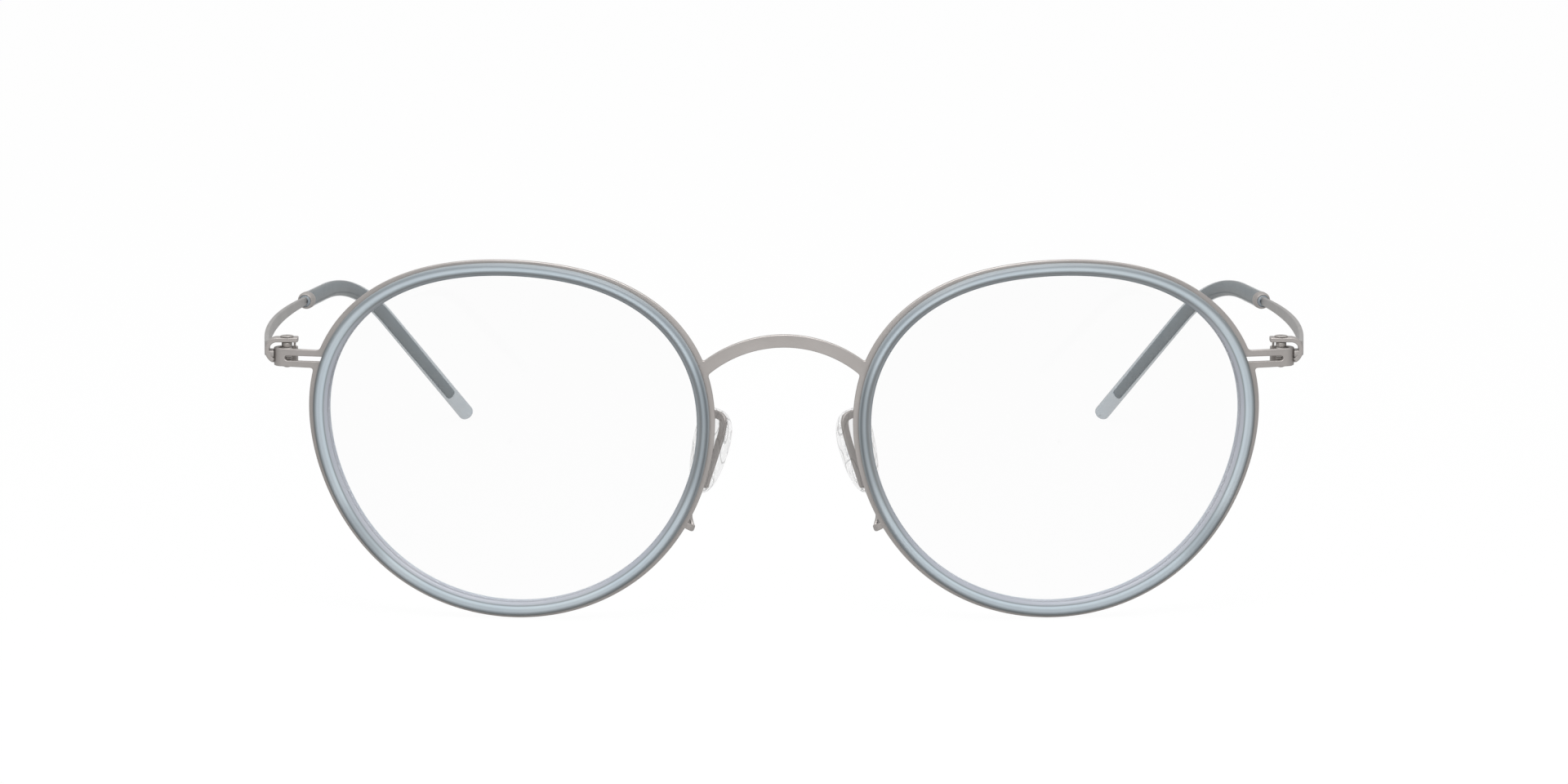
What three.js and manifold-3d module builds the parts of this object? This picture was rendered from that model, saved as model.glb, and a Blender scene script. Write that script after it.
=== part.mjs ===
// Round wire eyeglasses with acetate inner rims, in millimetres.
// +Z is up, the front faces -Y and the temples run to +Y. The origin lies on the table under the
// middle of the glasses, which stand on the lowest point of the rims and on the two temple tips.
// While they are drawn, y = 0 is the front face of the metal sheet.
// Left and right are the wearer's: left is +X. The left side is drawn and the right is its mirror.

import * as THREE from 'three';
import { mergeVertices } from 'three/addons/utils/BufferGeometryUtils.js';
import Module from 'manifold-3d';

const wasm = await Module();
wasm.setup();

// ---------------------------------------------------------------- driving dimensions

// Lenses, measured as opticians do: the box around the bevel, and the bridge between the boxes.
const lensWidth = 50.1;
const lensHeight = 44.7;
const bridgeDistance = 21.85;
const lensThickness = 1.6;
const lensBulge = 2.2;
const bevelDepth = 0.5;
const bevelHalfHeight = 0.4;

// Outline of lens and rims: a circle with three slow waves, stretched to its box.
const outlineLean = 0.0096;
const outlinePanto = 0.0293;
const outlineCorners = -0.0107;

// The front is rolled around the face on an upright cylinder.
const faceRadius = 350;

// Acetate inner rim.
const acetateWall = 1.8;
const acetateDepth = 2.5;
const acetateProud = 1.1;
const outerBevel = 0.4;
const innerBevel = 0.65;
const backBevel = 0.25;
const grooveClearance = 0.08;

// Front, cut from one metal sheet.
const sheet = 0.6;
const rimSeat = 0.5;
const rimExposedSides = 0.7;
const rimExposedTop = 0.36;
const seatClearance = 0.06;

// Bridge: a flat arch between the rims. Its top is measured from the rims' middle.
const bridgeAbove = 14.29;
const bridgeBand = 1.65;
const bridgeHalfSpan = 11.2;
const bridgeRise = 6.2;
const bridgeFlare = 0.15;
const bridgeFlarePower = 12;

// End piece: a strip with a slot, curled back into the hinge knuckle. Its top is measured from the
// rims' middle, and its length from the rim's widest point.
const endPieceAbove = 11.29;
const endPieceLength = 3.665;
const endPieceHeight = 2.4;
const endPieceFall = 0.15;
const endPieceFillet = 0.5;
const slotHeight = 0.66;
const slotTop = 0.94;
const slotShort = 0.45;

// Hinge.
const knuckleInside = 0.7;
const knuckleHeight = 1.3;
const knuckleTail = 1.65;
const screwInset = 0.46;
const eyeRadius = 0.7;
const tabCorner = 0.3;
const tabHalfWidth = 0.85;
const tabInner = 1.5;
const forkWall = 2.9;
const forkCorner = 1.6;
const upperWasher = 0.65;
const lowerWasher = 0.25;
const runningGap = 0.05;
const screwShank = 0.8;
const screwHead = 1.76;
const screwHeadHeight = 0.18;
const screwEnd = 1.2;
const screwEndHeight = 0.42;
const screwChamfer = 0.1;
const screwDome = 0.2;
const holeClearance = 0.08;
const washerOutside = 1.4;
const bushClearance = 0.08;
const stopWidth = 0.3;
const stopInset = 0.94;
const stopGap = 0.1;
const stopHeight = 0.95;
const neckHalfWidth = 0.45;
const neckLength = 2.0;

// Temple.
const stripHeight = 2.35;
const stripEndHeight = 1.15;
const coreEndHeight = 0.95;
const armBow = 3.75;
const bowShare = 0.55;
const armLength = 73;
const armDrop = 6.4;
const armSpread = 0.6;
const earCorner = 39.8;
const earLead = 24.4;
const earTrail = 10.1;
const tipHalfSpacing = 48.5;
const tipBack = 137.3;
const tipSolid = 4.0;
const sleeveDiameter = 2.35;
const tipRound = 0.75;
const coreClearance = 0.1;
const ferruleLength = 2.2;
const ferruleDiameter = 2.45;
const ferruleMouth = 2.0;
const ferruleWall = 0.14;
const ferruleGap = 0.1;

// Nose pads and the arms that carry them.
const padLength = 11.5;
const padWidth = 5.9;
const padThickness = 2.0;
const padTaper = 0.22;
const padSquareness = 0.8;
const padFromLug = new THREE.Vector3(-2.674, 6.3, 8.823);
const padSplay = 45;
const padLean = 16;
const padArmWidth = 0.85;
const padArmThickness = 0.5;
const padLoopShift = 0.27;
const padLoopRadius = 1.94;
const padLoopTop = 4.95;
const padLoopEnd = 4.2;
const padLoopTaper = 0.12;
const padArmRise = 1.6;
const lugBend = [0.02, 0.1];
const padArmTwist = [0.1, 0.35];
const padChannelStart = 0.25;
const padChannelGap = 0.12;
const lugAngle = 210;
const lugReach = 1.05;
const lugElbow = 0.25;

// How finely the round shapes are cut, and how far a cutter runs past what it cuts.
const outlineSteps = 60;
const searchSteps = 720;
const bridgeSteps = 36;
const hingeSides = 16;
const padSides = 28;
const padArmSteps = 36;
const stripSteps = 44;
const ferruleSides = 16;
const sleeveSides = 12;
const sleeveSteps = 22;
const cutMargin = 0.3;

// ---------------------------------------------------------------- worked-out places

const rimCentreX = bridgeDistance / 2 + lensWidth / 2;
const rimReach = acetateWall - bevelDepth;
const rimCentreZ = lensHeight / 2 + rimReach + rimExposedTop;
const rimWidth = lensWidth + 2 * (rimReach + rimExposedSides);
const rimHeight = lensHeight + 2 * (rimReach + rimExposedTop);
const bridgeTop = rimCentreZ + bridgeAbove;
const endPieceTop = rimCentreZ + endPieceAbove;
const endPieceReach = rimCentreX + rimWidth / 2 + endPieceLength;
const sheetMiddle = sheet / 2;
const lensMiddle = acetateDepth / 2 - acetateProud;
const knuckleBottom = endPieceTop - knuckleHeight;
const upperTabBottom = endPieceTop + upperWasher + 2 * runningGap;
const upperTabTop = upperTabBottom + sheet;
const lowerTabTop = knuckleBottom - lowerWasher - 2 * runningGap;
const lowerTabBottom = lowerTabTop - sheet;
const forkMiddle = (upperTabTop + lowerTabBottom) / 2;
const hinge = wrapped(new THREE.Vector3(endPieceReach - screwInset, sheet + knuckleInside, 0));
const lugRadians = THREE.MathUtils.degToRad(lugAngle);
const waveBox = new THREE.Box2().setFromPoints(turn(searchSteps).map(wave));
const waveMiddle = waveBox.getCenter(new THREE.Vector2());
const waveSize = waveBox.getSize(new THREE.Vector2());
const lugEdge = rimPoint(lugRadians, rimWidth, rimHeight);
const padCentre = new THREE.Vector3(lugEdge.x, 0, lugEdge.y).add(padFromLug);

// ---------------------------------------------------------------- materials

function metal(color, roughness) {
  return new THREE.MeshStandardMaterial({ color, roughness, metalness: 1 });
}

function clear(color, opacity) {
  return new THREE.MeshStandardMaterial({ color, roughness: 0.1, metalness: 0, transparent: true, opacity });
}

const satinMetal = metal(0xa8a29e, 0.45);
const screwMetal = metal(0xb8b2ae, 0.35);
const acetate = clear(0xaebac4, 0.85);
const lensResin = clear(0xf4f8fa, 0.2);
const silicone = clear(0xf2f2f4, 0.4);
const nylon = new THREE.MeshStandardMaterial({ color: 0xd8d8d4, roughness: 0.5, metalness: 0 });

// ---------------------------------------------------------------- geometry helpers

// Moves every vertex of a geometry by a function that changes the point it is given.
function moveVertices(geometry, move) {
  const position = geometry.attributes.position;
  const point = new THREE.Vector3();
  for (let i = 0; i < position.count; i += 1) {
    point.fromBufferAttribute(position, i);
    move(point);
    position.setXYZ(i, point.x, point.y, point.z);
  }
  return geometry;
}

// Joins shared vertices and drops the empty triangles at a lathe's poles.
function welded(geometry) {
  const bare = geometry.clone();
  bare.deleteAttribute('normal');
  bare.deleteAttribute('uv');
  const merged = mergeVertices(bare, 1e-4);
  const kept = [];
  for (let i = 0; i < merged.index.count; i += 3) {
    const [a, b, c] = [0, 1, 2].map((k) => merged.index.getX(i + k));
    if (a !== b && b !== c && c !== a) kept.push(a, b, c);
  }
  merged.setIndex(kept);
  return merged;
}

function signedVolume(geometry) {
  const position = geometry.attributes.position;
  const corners = [new THREE.Vector3(), new THREE.Vector3(), new THREE.Vector3()];
  let volume = 0;
  for (let i = 0; i < geometry.index.count; i += 3) {
    corners.forEach((corner, k) => corner.fromBufferAttribute(position, geometry.index.getX(i + k)));
    volume += corners[0].dot(corners[1].clone().cross(corners[2])) / 6;
  }
  return volume;
}

// Turns all triangles over when the closed mesh faces inward.
function facingOut(geometry) {
  const mesh = geometry.index ? geometry : welded(geometry);
  if (signedVolume(mesh) > 0) return mesh;
  const turned = Array.from(mesh.index.array).reverse();
  mesh.setIndex(turned);
  return mesh;
}

function solid(geometry) {
  const mesh = facingOut(welded(geometry));
  const vertProperties = new Float32Array(mesh.attributes.position.array);
  const triVerts = new Uint32Array(mesh.index.array);
  return new wasm.Manifold(new wasm.Mesh({ numProp: 3, vertProperties, triVerts }));
}

function geometryOf(manifold) {
  const mesh = manifold.getMesh();
  const geometry = new THREE.BufferGeometry();
  geometry.setAttribute('position', new THREE.BufferAttribute(Float32Array.from(mesh.vertProperties), 3));
  geometry.setIndex(new THREE.BufferAttribute(Uint32Array.from(mesh.triVerts), 1));
  return geometry;
}

function joined(geometries) {
  return geometries.map(solid).reduce((whole, piece) => whole.add(piece));
}

function mirrored(geometry) {
  return facingOut(moveVertices(welded(geometry), (p) => p.setX(-p.x)));
}

// Rolls a point of the flat front around the face.
function wrapped(point) {
  const angle = point.x / faceRadius;
  const radius = faceRadius - point.y;
  return point.set(radius * Math.sin(angle), faceRadius - radius * Math.cos(angle), point.z);
}

// A flat plate drawn in X and Z, with its front face at y = front.
function plate(shape, front, thickness) {
  const geometry = new THREE.ExtrudeGeometry(shape, { depth: thickness, bevelEnabled: false });
  return geometry.rotateX(Math.PI / 2).translate(0, front + thickness, 0);
}

// A prism drawn in X and Y, standing on z = bottom.
function prism(shape, bottom, height) {
  const geometry = new THREE.ExtrudeGeometry(shape, { depth: height, bevelEnabled: false, curveSegments: 7 });
  return geometry.translate(0, 0, bottom);
}

function block(low, high) {
  const size = high.clone().sub(low);
  const middle = low.clone().add(high).multiplyScalar(0.5);
  return new THREE.BoxGeometry(size.x, size.y, size.z).translate(middle.x, middle.y, middle.z);
}

// A turned part on the hinge axis, from a profile of [radius, z] points.
function turnedOnHinge(profile) {
  const points = profile.map(([radius, z]) => new THREE.Vector2(radius, z));
  return new THREE.LatheGeometry(points, hingeSides).rotateX(Math.PI / 2).translate(hinge.x, hinge.y, 0);
}

function tubeOnHinge(bottom, height, outside, inside) {
  const top = bottom + height;
  return turnedOnHinge([
    [inside / 2, bottom],
    [outside / 2, bottom],
    [outside / 2, top],
    [inside / 2, top],
    [inside / 2, bottom],
  ]);
}

// Lays a straight piece along a curve: its y becomes distance along the curve, its x points to the
// side that sideAt gives, and its z stands across both.
function layAlong(geometry, curve, sideAt) {
  const length = curve.getLength();
  return moveVertices(geometry, (p) => {
    const share = THREE.MathUtils.clamp(p.y / length, 0, 1);
    const forward = curve.getTangentAt(share);
    const side = sideAt(share);
    side.addScaledVector(forward, -side.dot(forward)).normalize();
    const across = side.clone().cross(forward);
    const centre = curve.getPointAt(share);
    p.copy(centre.addScaledVector(side, p.x).addScaledVector(across, p.z));
  });
}

// A bar of rectangular section from y = start to y = end, cut into steps along y.
function bar(thickness, height, start, end, steps) {
  const length = end - start;
  return new THREE.BoxGeometry(thickness, length, height, 1, steps, 1).translate(0, start + length / 2, 0);
}

// ---------------------------------------------------------------- rims and lenses

function wave(angle) {
  const radius = 1 + outlineLean * Math.sin(2 * angle) + outlinePanto * Math.sin(3 * angle)
    + outlineCorners * Math.cos(4 * angle);
  return new THREE.Vector2(radius * Math.cos(angle), radius * Math.sin(angle));
}

function turn(count) {
  return Array.from({ length: count }, (_, i) => (2 * Math.PI * i) / count);
}

// A point of the left outline, stretched to a box of the given width and height.
function rimPoint(angle, width, height) {
  const point = wave(angle).sub(waveMiddle).divide(waveSize);
  return point.set(rimCentreX + point.x * width, rimCentreZ + point.y * height);
}

function rimNormal(angle, width, height) {
  const step = 0.001;
  const ahead = rimPoint(angle + step, width, height);
  const along = ahead.sub(rimPoint(angle - step, width, height)).normalize();
  return new THREE.Vector2(along.y, -along.x);
}

function rimOutline(angle) {
  return rimPoint(angle, rimWidth, rimHeight);
}

function lensOffset(angle, distance) {
  const normal = rimNormal(angle, lensWidth, lensHeight);
  return rimPoint(angle, lensWidth, lensHeight).addScaledVector(normal, distance);
}

// Stretches a piece turned about Y, whose lens edge has the radius lensWidth / 2, to the left
// outline, and rolls it around the face.
function fittedToRim(geometry) {
  const edge = lensWidth / 2;
  const centre = new THREE.Vector2(rimCentreX, rimCentreZ);
  return moveVertices(geometry, (p) => {
    const angle = Math.atan2(p.z, p.x);
    const radius = Math.hypot(p.x, p.z);
    const outline = lensOffset(angle, Math.max(radius - edge, 0));
    outline.sub(centre).multiplyScalar(Math.min(radius / edge, 1)).add(centre);
    wrapped(p.set(outline.x, p.y, outline.y));
  });
}

// A quarter circle of a profile, around a centre, from one angle to another in degrees.
function quarter(x, y, radius, from, to, steps) {
  return Array.from({ length: steps + 1 }, (_, i) => {
    const angle = THREE.MathUtils.degToRad(from + ((to - from) * i) / steps);
    return new THREE.Vector2(x + radius * Math.cos(angle), y + radius * Math.sin(angle));
  });
}

function innerRim() {
  const inner = lensWidth / 2 - bevelDepth;
  const outer = inner + acetateWall;
  const front = -acetateProud;
  const back = front + acetateDepth;
  const seat = outer - rimSeat;
  const mouth = bevelHalfHeight + grooveClearance;
  const profile = [
    ...quarter(inner + innerBevel, front + innerBevel, innerBevel, 180, 270, 3),
    ...quarter(outer - outerBevel, front + outerBevel, outerBevel, 270, 360, 2),
    new THREE.Vector2(outer, -seatClearance),
    new THREE.Vector2(seat, -seatClearance),
    new THREE.Vector2(seat, sheet + seatClearance),
    new THREE.Vector2(outer, sheet + seatClearance),
    ...quarter(outer - backBevel, back - backBevel, backBevel, 0, 90, 1),
    ...quarter(inner + backBevel, back - backBevel, backBevel, 90, 180, 1),
    new THREE.Vector2(inner, lensMiddle + mouth),
    new THREE.Vector2(lensWidth / 2 + grooveClearance, lensMiddle),
    new THREE.Vector2(inner, lensMiddle - mouth),
  ];
  profile.push(profile[0].clone());
  return fittedToRim(new THREE.LatheGeometry(profile, outlineSteps));
}

function lens() {
  const shoulder = lensWidth / 2 - bevelDepth - grooveClearance;
  const rings = [0, 0.35, 0.7, 1];
  const surface = (height) => rings.map((share) => {
    const bulge = lensBulge * (1 - share * share);
    return new THREE.Vector2(shoulder * share, lensMiddle + height - bulge);
  });
  const profile = [
    ...surface(-lensThickness / 2),
    new THREE.Vector2(shoulder, lensMiddle - bevelHalfHeight),
    new THREE.Vector2(lensWidth / 2, lensMiddle),
    new THREE.Vector2(shoulder, lensMiddle + bevelHalfHeight),
    ...surface(lensThickness / 2).reverse(),
  ];
  return fittedToRim(new THREE.LatheGeometry(profile, outlineSteps));
}

// ---------------------------------------------------------------- front sheet

function rimDisc() {
  return plate(new THREE.Shape(turn(outlineSteps).map(rimOutline)), 0, sheet);
}

// The hole that the inner rim is put into.
function rimHole() {
  const seat = rimReach - rimSeat + seatClearance;
  const edge = turn(outlineSteps).map((angle) => lensOffset(angle, seat));
  return plate(new THREE.Shape(edge), -cutMargin, sheet + 2 * cutMargin);
}

// The arch follows half an ellipse; its band widens where it runs into the rims.
function bridge() {
  const middle = bridgeTop - bridgeBand / 2 - bridgeRise;
  const start = Math.acos((bridgeDistance - rimSeat) / 2 / bridgeHalfSpan);
  const edge = (side) => Array.from({ length: bridgeSteps + 1 }, (_, i) => {
    const share = (2 * i) / bridgeSteps - 1;
    const angle = Math.PI / 2 + share * (Math.PI / 2 - start);
    const half = bridgeBand / 2 + bridgeFlare * Math.abs(share) ** bridgeFlarePower;
    const normal = new THREE.Vector2(Math.cos(angle) / bridgeHalfSpan, Math.sin(angle) / bridgeRise);
    const point = new THREE.Vector2(bridgeHalfSpan * Math.cos(angle), middle + bridgeRise * Math.sin(angle));
    return point.addScaledVector(normal.normalize(), side * half);
  });
  return plate(new THREE.Shape([...edge(1), ...edge(-1).reverse()]), 0, sheet);
}

// The angle at which the rim's outer edge is at a given height on its outer side.
function outerAngleAt(height) {
  const offHeight = (angle) => Math.abs(rimOutline(angle).y - height);
  const outerSide = turn(searchSteps).filter((angle) => Math.cos(angle) > 0);
  return outerSide.sort((a, b) => offHeight(a) - offHeight(b))[0];
}

// Fills the corner between the end piece's edge at a height and the rim above or below it.
function fillet(height, upward) {
  const angle = outerAngleAt(height);
  const corner = rimOutline(angle).setY(height);
  const normal = rimNormal(angle, rimWidth, rimHeight);
  const along = new THREE.Vector2(-normal.y, normal.x).multiplyScalar(upward * endPieceFillet);
  const shape = new THREE.Shape();
  shape.moveTo(corner.x + endPieceFillet, corner.y);
  shape.quadraticCurveTo(corner.x, corner.y, corner.x + along.x, corner.y + along.y);
  shape.lineTo(corner.x + along.x - endPieceFillet, corner.y + along.y);
  shape.lineTo(corner.x, corner.y - upward * endPieceFillet);
  shape.lineTo(corner.x + endPieceFillet, corner.y - upward * endPieceFillet);
  shape.closePath();
  return plate(shape, 0, sheet);
}

// The flat part of the end piece, from the rim to the curl.
function endPiece() {
  const bottom = endPieceTop - endPieceHeight;
  const inside = rimOutline(outerAngleAt(endPieceTop)).x - rimExposedSides;
  const shape = new THREE.Shape();
  shape.moveTo(endPieceReach, endPieceTop);
  shape.lineTo(inside, endPieceTop - endPieceFall);
  shape.lineTo(inside, bottom - endPieceFall);
  shape.lineTo(endPieceReach, bottom);
  shape.closePath();
  return plate(shape, 0, sheet);
}

// The slot parts the rim at its outer side, so that the inner rim can be put in.
function slot() {
  const radius = slotHeight / 2;
  const middle = endPieceTop - slotTop - radius;
  const end = endPieceReach - slotShort - radius;
  const open = rimCentreX + lensWidth / 2;
  const shape = new THREE.Shape();
  shape.moveTo(open, middle - radius);
  shape.lineTo(end, middle - radius);
  shape.absarc(end, middle, radius, -Math.PI / 2, Math.PI / 2, false);
  shape.lineTo(open, middle + radius);
  shape.closePath();
  return plate(shape, -cutMargin, sheet + 2 * cutMargin);
}

// The sheet curls back around the hinge axis and ends in a short tail behind it.
function knuckle() {
  const middle = sheet + knuckleInside;
  const outside = knuckleInside + sheet;
  const flat = endPieceReach - sheet;
  const tail = endPieceReach - knuckleTail;
  const shape = new THREE.Shape();
  shape.moveTo(flat, 0);
  shape.lineTo(endPieceReach, 0);
  shape.absarc(endPieceReach, middle, outside, -Math.PI / 2, Math.PI / 2, false);
  shape.lineTo(tail, middle + outside);
  shape.lineTo(tail, middle + knuckleInside);
  shape.lineTo(endPieceReach, middle + knuckleInside);
  shape.absarc(endPieceReach, middle, knuckleInside, Math.PI / 2, -Math.PI / 2, true);
  shape.lineTo(flat, sheet);
  shape.closePath();
  return prism(shape, endPieceTop - endPieceHeight, endPieceHeight);
}

// Room for the fork's lower tab, under the curled part of the end piece.
function knuckleRelief() {
  const reach = 2 * forkWall;
  const front = hinge.y - neckHalfWidth - stopGap;
  const low = new THREE.Vector3(hinge.x - reach, front, knuckleBottom - endPieceHeight);
  return block(low, new THREE.Vector3(hinge.x + reach, hinge.y + reach, knuckleBottom));
}

// A post on the tail of the knuckle, which the upper tab meets when the temple is fully open.
function openingStop() {
  const front = hinge.y + tabHalfWidth + stopGap;
  const middle = hinge.x - stopInset;
  const low = new THREE.Vector3(middle - stopWidth / 2, front, endPieceTop - stopWidth);
  const back = hinge.y + knuckleInside + sheet;
  return block(low, new THREE.Vector3(middle + stopWidth / 2, back, endPieceTop + stopHeight));
}

// ---------------------------------------------------------------- pads and pad arms

// The pad's own frame: its x runs across the pad to the back, its y up along it, and its z out of
// the face that looks away from the nose.
function padFrame() {
  const splay = THREE.MathUtils.degToRad(padSplay);
  const lean = THREE.MathUtils.degToRad(padLean);
  const up = new THREE.Vector3(-Math.sin(lean), 0, Math.cos(lean));
  const across = new THREE.Vector3(Math.sin(splay), Math.cos(splay), 0);
  across.addScaledVector(up, -across.dot(up)).normalize();
  const out = across.clone().cross(up);
  return new THREE.Matrix4().makeBasis(across, up, out).setPosition(padCentre);
}

function onPad(x, y) {
  return new THREE.Vector3(x, y, 0).applyMatrix4(padFrame());
}

function lugPoint(distance, depth) {
  const normal = rimNormal(lugRadians, rimWidth, rimHeight);
  const point = lugEdge.clone().addScaledVector(normal, distance);
  return wrapped(new THREE.Vector3(point.x, depth, point.y));
}

// Half the width of the arm's loop at a height on the pad: it narrows downward.
function loopHalfWidth(y) {
  return padLoopRadius - padLoopTaper * (padLoopTop - padLoopRadius - y);
}

// The arm leaves the rim as a lug, bends back, rises behind the rim and turns over inside the pad.
function padArmLine() {
  const low = -padLength / 3;
  const over = [0, 45, 90, 135, 180].map((degrees) => {
    const angle = THREE.MathUtils.degToRad(degrees);
    const x = padLoopShift + padLoopRadius * Math.cos(angle);
    return onPad(x, padLoopTop + padLoopRadius * (Math.sin(angle) - 1));
  });
  const elbow = lugPoint(lugElbow, sheet + padArmRise);
  elbow.z += padArmWidth;
  return new THREE.CatmullRomCurve3([
    lugPoint(-sheet, sheetMiddle),
    lugPoint(lugReach / 2, sheetMiddle),
    lugPoint(lugReach, sheet + padArmWidth / 2),
    elbow,
    onPad(padLoopShift + loopHalfWidth(low), low),
    ...over,
    onPad(padLoopShift - loopHalfWidth(-padLoopEnd), -padLoopEnd),
  ], false, 'centripetal');
}

// Which way the arm's flat face looks: back at the lug, then to the side, then with the pad.
function padArmSide(share) {
  const normal = rimNormal(lugRadians, rimWidth, rimHeight);
  const atLug = new THREE.Vector3(0, 1, 0);
  const behind = new THREE.Vector3(-normal.x, 0, -normal.y);
  const inPad = new THREE.Vector3().setFromMatrixColumn(padFrame(), 2);
  const bend = THREE.MathUtils.smoothstep(share, ...lugBend);
  const twist = THREE.MathUtils.smoothstep(share, ...padArmTwist);
  return atLug.lerp(behind, bend).lerp(inPad, twist);
}

function padArm(gap, start) {
  const line = padArmLine();
  const end = line.getLength() - padChannelGap + gap;
  const strip = bar(padArmThickness + 2 * gap, padArmWidth + 2 * gap, start * end, end, padArmSteps);
  return layAlong(strip, line, padArmSide);
}

// A rounded plate, wider at its top, with the arm's channel cut from it.
function nosePad() {
  const half = padThickness / 2;
  const flat = 1 - padThickness / padWidth;
  const rim = [90, 60, 30, 0, -30, -60, -90].map((degrees) => {
    const angle = THREE.MathUtils.degToRad(degrees);
    return new THREE.Vector2(flat + (1 - flat) * Math.cos(angle), half * Math.sin(angle));
  });
  const profile = [new THREE.Vector2(0, half), ...rim, new THREE.Vector2(0, -half)];
  const squared = (value) => Math.sign(value) * Math.abs(value) ** padSquareness;
  const plateGeometry = new THREE.LatheGeometry(profile, padSides).rotateX(-Math.PI / 2);
  moveVertices(plateGeometry, (p) => {
    const radius = Math.hypot(p.x, p.y) || 1;
    const x = radius * squared(p.x / radius);
    const y = radius * squared(p.y / radius);
    p.set((x * padWidth * (1 + padTaper * y)) / 2, (y * padLength) / 2, p.z);
  });
  const pad = solid(plateGeometry.applyMatrix4(padFrame()));
  return geometryOf(pad.subtract(solid(padArm(padChannelGap, padChannelStart))));
}

function frontFrame() {
  const fillets = [
    fillet(endPieceTop - endPieceFall, 1),
    fillet(endPieceTop - endPieceHeight - endPieceFall, -1),
  ];
  const flat = [rimDisc(), endPiece(), knuckle(), ...fillets];
  const cutter = [rimHole(), slot()];
  const both = (pieces) => [...pieces, ...pieces.map(mirrored)];
  const sheetMetal = joined([bridge(), ...both(flat)]).subtract(joined(both(cutter)));
  const rolled = solid(moveVertices(geometryOf(sheetMetal), wrapped));
  const relieved = rolled.subtract(joined(both([knuckleRelief()])));
  return geometryOf(relieved.add(joined(both([openingStop(), padArm(0, 0)]))));
}

// ---------------------------------------------------------------- hinge

function screwHole() {
  const diameter = screwShank + 2 * holeClearance;
  const bottom = lowerTabBottom - cutMargin;
  const top = upperTabTop + cutMargin;
  return turnedOnHinge([
    [0, bottom],
    [diameter / 2, bottom],
    [diameter / 2, top],
    [0, top],
  ]);
}

function hingeScrew() {
  const head = upperTabTop + runningGap;
  const end = lowerTabBottom - runningGap;
  return turnedOnHinge([
    [0, end - screwEndHeight],
    [screwEnd / 2 - screwChamfer, end - screwEndHeight],
    [screwEnd / 2, end - screwEndHeight + screwChamfer],
    [screwEnd / 2, end],
    [screwShank / 2, end],
    [screwShank / 2, head],
    [screwHead / 2, head],
    [screwHead / 2, head + screwHeadHeight / 2],
    [screwHead / 2 - screwDome, head + screwHeadHeight],
    [0, head + screwHeadHeight],
  ]);
}

function hingeBush() {
  const outside = 2 * (knuckleInside - bushClearance);
  return tubeOnHinge(knuckleBottom, knuckleHeight, outside, screwShank + 2 * holeClearance);
}

function hingeWasher(bottom, height) {
  return tubeOnHinge(bottom, height, washerOutside, screwShank + 2 * holeClearance);
}

// ---------------------------------------------------------------- temple

// A sheet bent to a C: two tabs around the knuckle and the wall that carries the strip.
function forkProfile() {
  const wall = hinge.x + forkWall;
  const bend = wall - forkCorner;
  const inner = forkCorner - sheet;
  const quarterTurn = Math.PI / 2;
  const shape = new THREE.Shape();
  shape.moveTo(hinge.x - tabInner, upperTabTop);
  shape.lineTo(hinge.x - tabInner, upperTabBottom);
  shape.lineTo(bend, upperTabBottom);
  shape.absarc(bend, upperTabTop - forkCorner, inner, quarterTurn, 0, true);
  shape.absarc(bend, lowerTabBottom + forkCorner, inner, 0, -quarterTurn, true);
  shape.lineTo(hinge.x - tabInner, lowerTabTop);
  shape.lineTo(hinge.x - tabInner, lowerTabBottom);
  shape.lineTo(bend, lowerTabBottom);
  shape.absarc(bend, lowerTabBottom + forkCorner, forkCorner, -quarterTurn, 0, false);
  shape.absarc(bend, upperTabTop - forkCorner, forkCorner, 0, quarterTurn, false);
  shape.closePath();
  return plate(shape, hinge.y - tabHalfWidth, 2 * tabHalfWidth);
}

// The lower tab is a round eye on a narrow neck, which clears the front sheet.
function lowerTabPlan() {
  const start = Math.asin(neckHalfWidth / eyeRadius);
  const far = hinge.x + 2 * forkWall;
  const neckEnd = hinge.x + neckLength;
  const shape = new THREE.Shape();
  shape.moveTo(far, hinge.y + tabHalfWidth);
  shape.lineTo(neckEnd, hinge.y + tabHalfWidth);
  shape.lineTo(neckEnd, hinge.y + neckHalfWidth);
  shape.absarc(hinge.x, hinge.y, eyeRadius, start, 2 * Math.PI - start, false);
  shape.lineTo(neckEnd, hinge.y - neckHalfWidth);
  shape.lineTo(neckEnd, hinge.y - tabHalfWidth);
  shape.lineTo(far, hinge.y - tabHalfWidth);
  shape.closePath();
  return prism(shape, lowerTabBottom - sheet, 3 * sheet);
}

// The upper tab ends square, with rounded corners.
function upperTabPlan() {
  const inner = hinge.x - tabInner;
  const far = hinge.x + 2 * forkWall;
  const low = hinge.y - tabHalfWidth;
  const high = hinge.y + tabHalfWidth;
  const shape = new THREE.Shape();
  shape.moveTo(far, high);
  shape.lineTo(inner + tabCorner, high);
  shape.absarc(inner + tabCorner, high - tabCorner, tabCorner, Math.PI / 2, Math.PI, false);
  shape.absarc(inner + tabCorner, low + tabCorner, tabCorner, Math.PI, 1.5 * Math.PI, false);
  shape.lineTo(far, low);
  shape.closePath();
  return prism(shape, lowerTabBottom + 2 * sheet, upperTabTop - lowerTabBottom);
}

function fork() {
  const outline = solid(lowerTabPlan()).add(solid(upperTabPlan()));
  return solid(forkProfile()).intersect(outline).subtract(solid(screwHole()));
}

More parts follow.
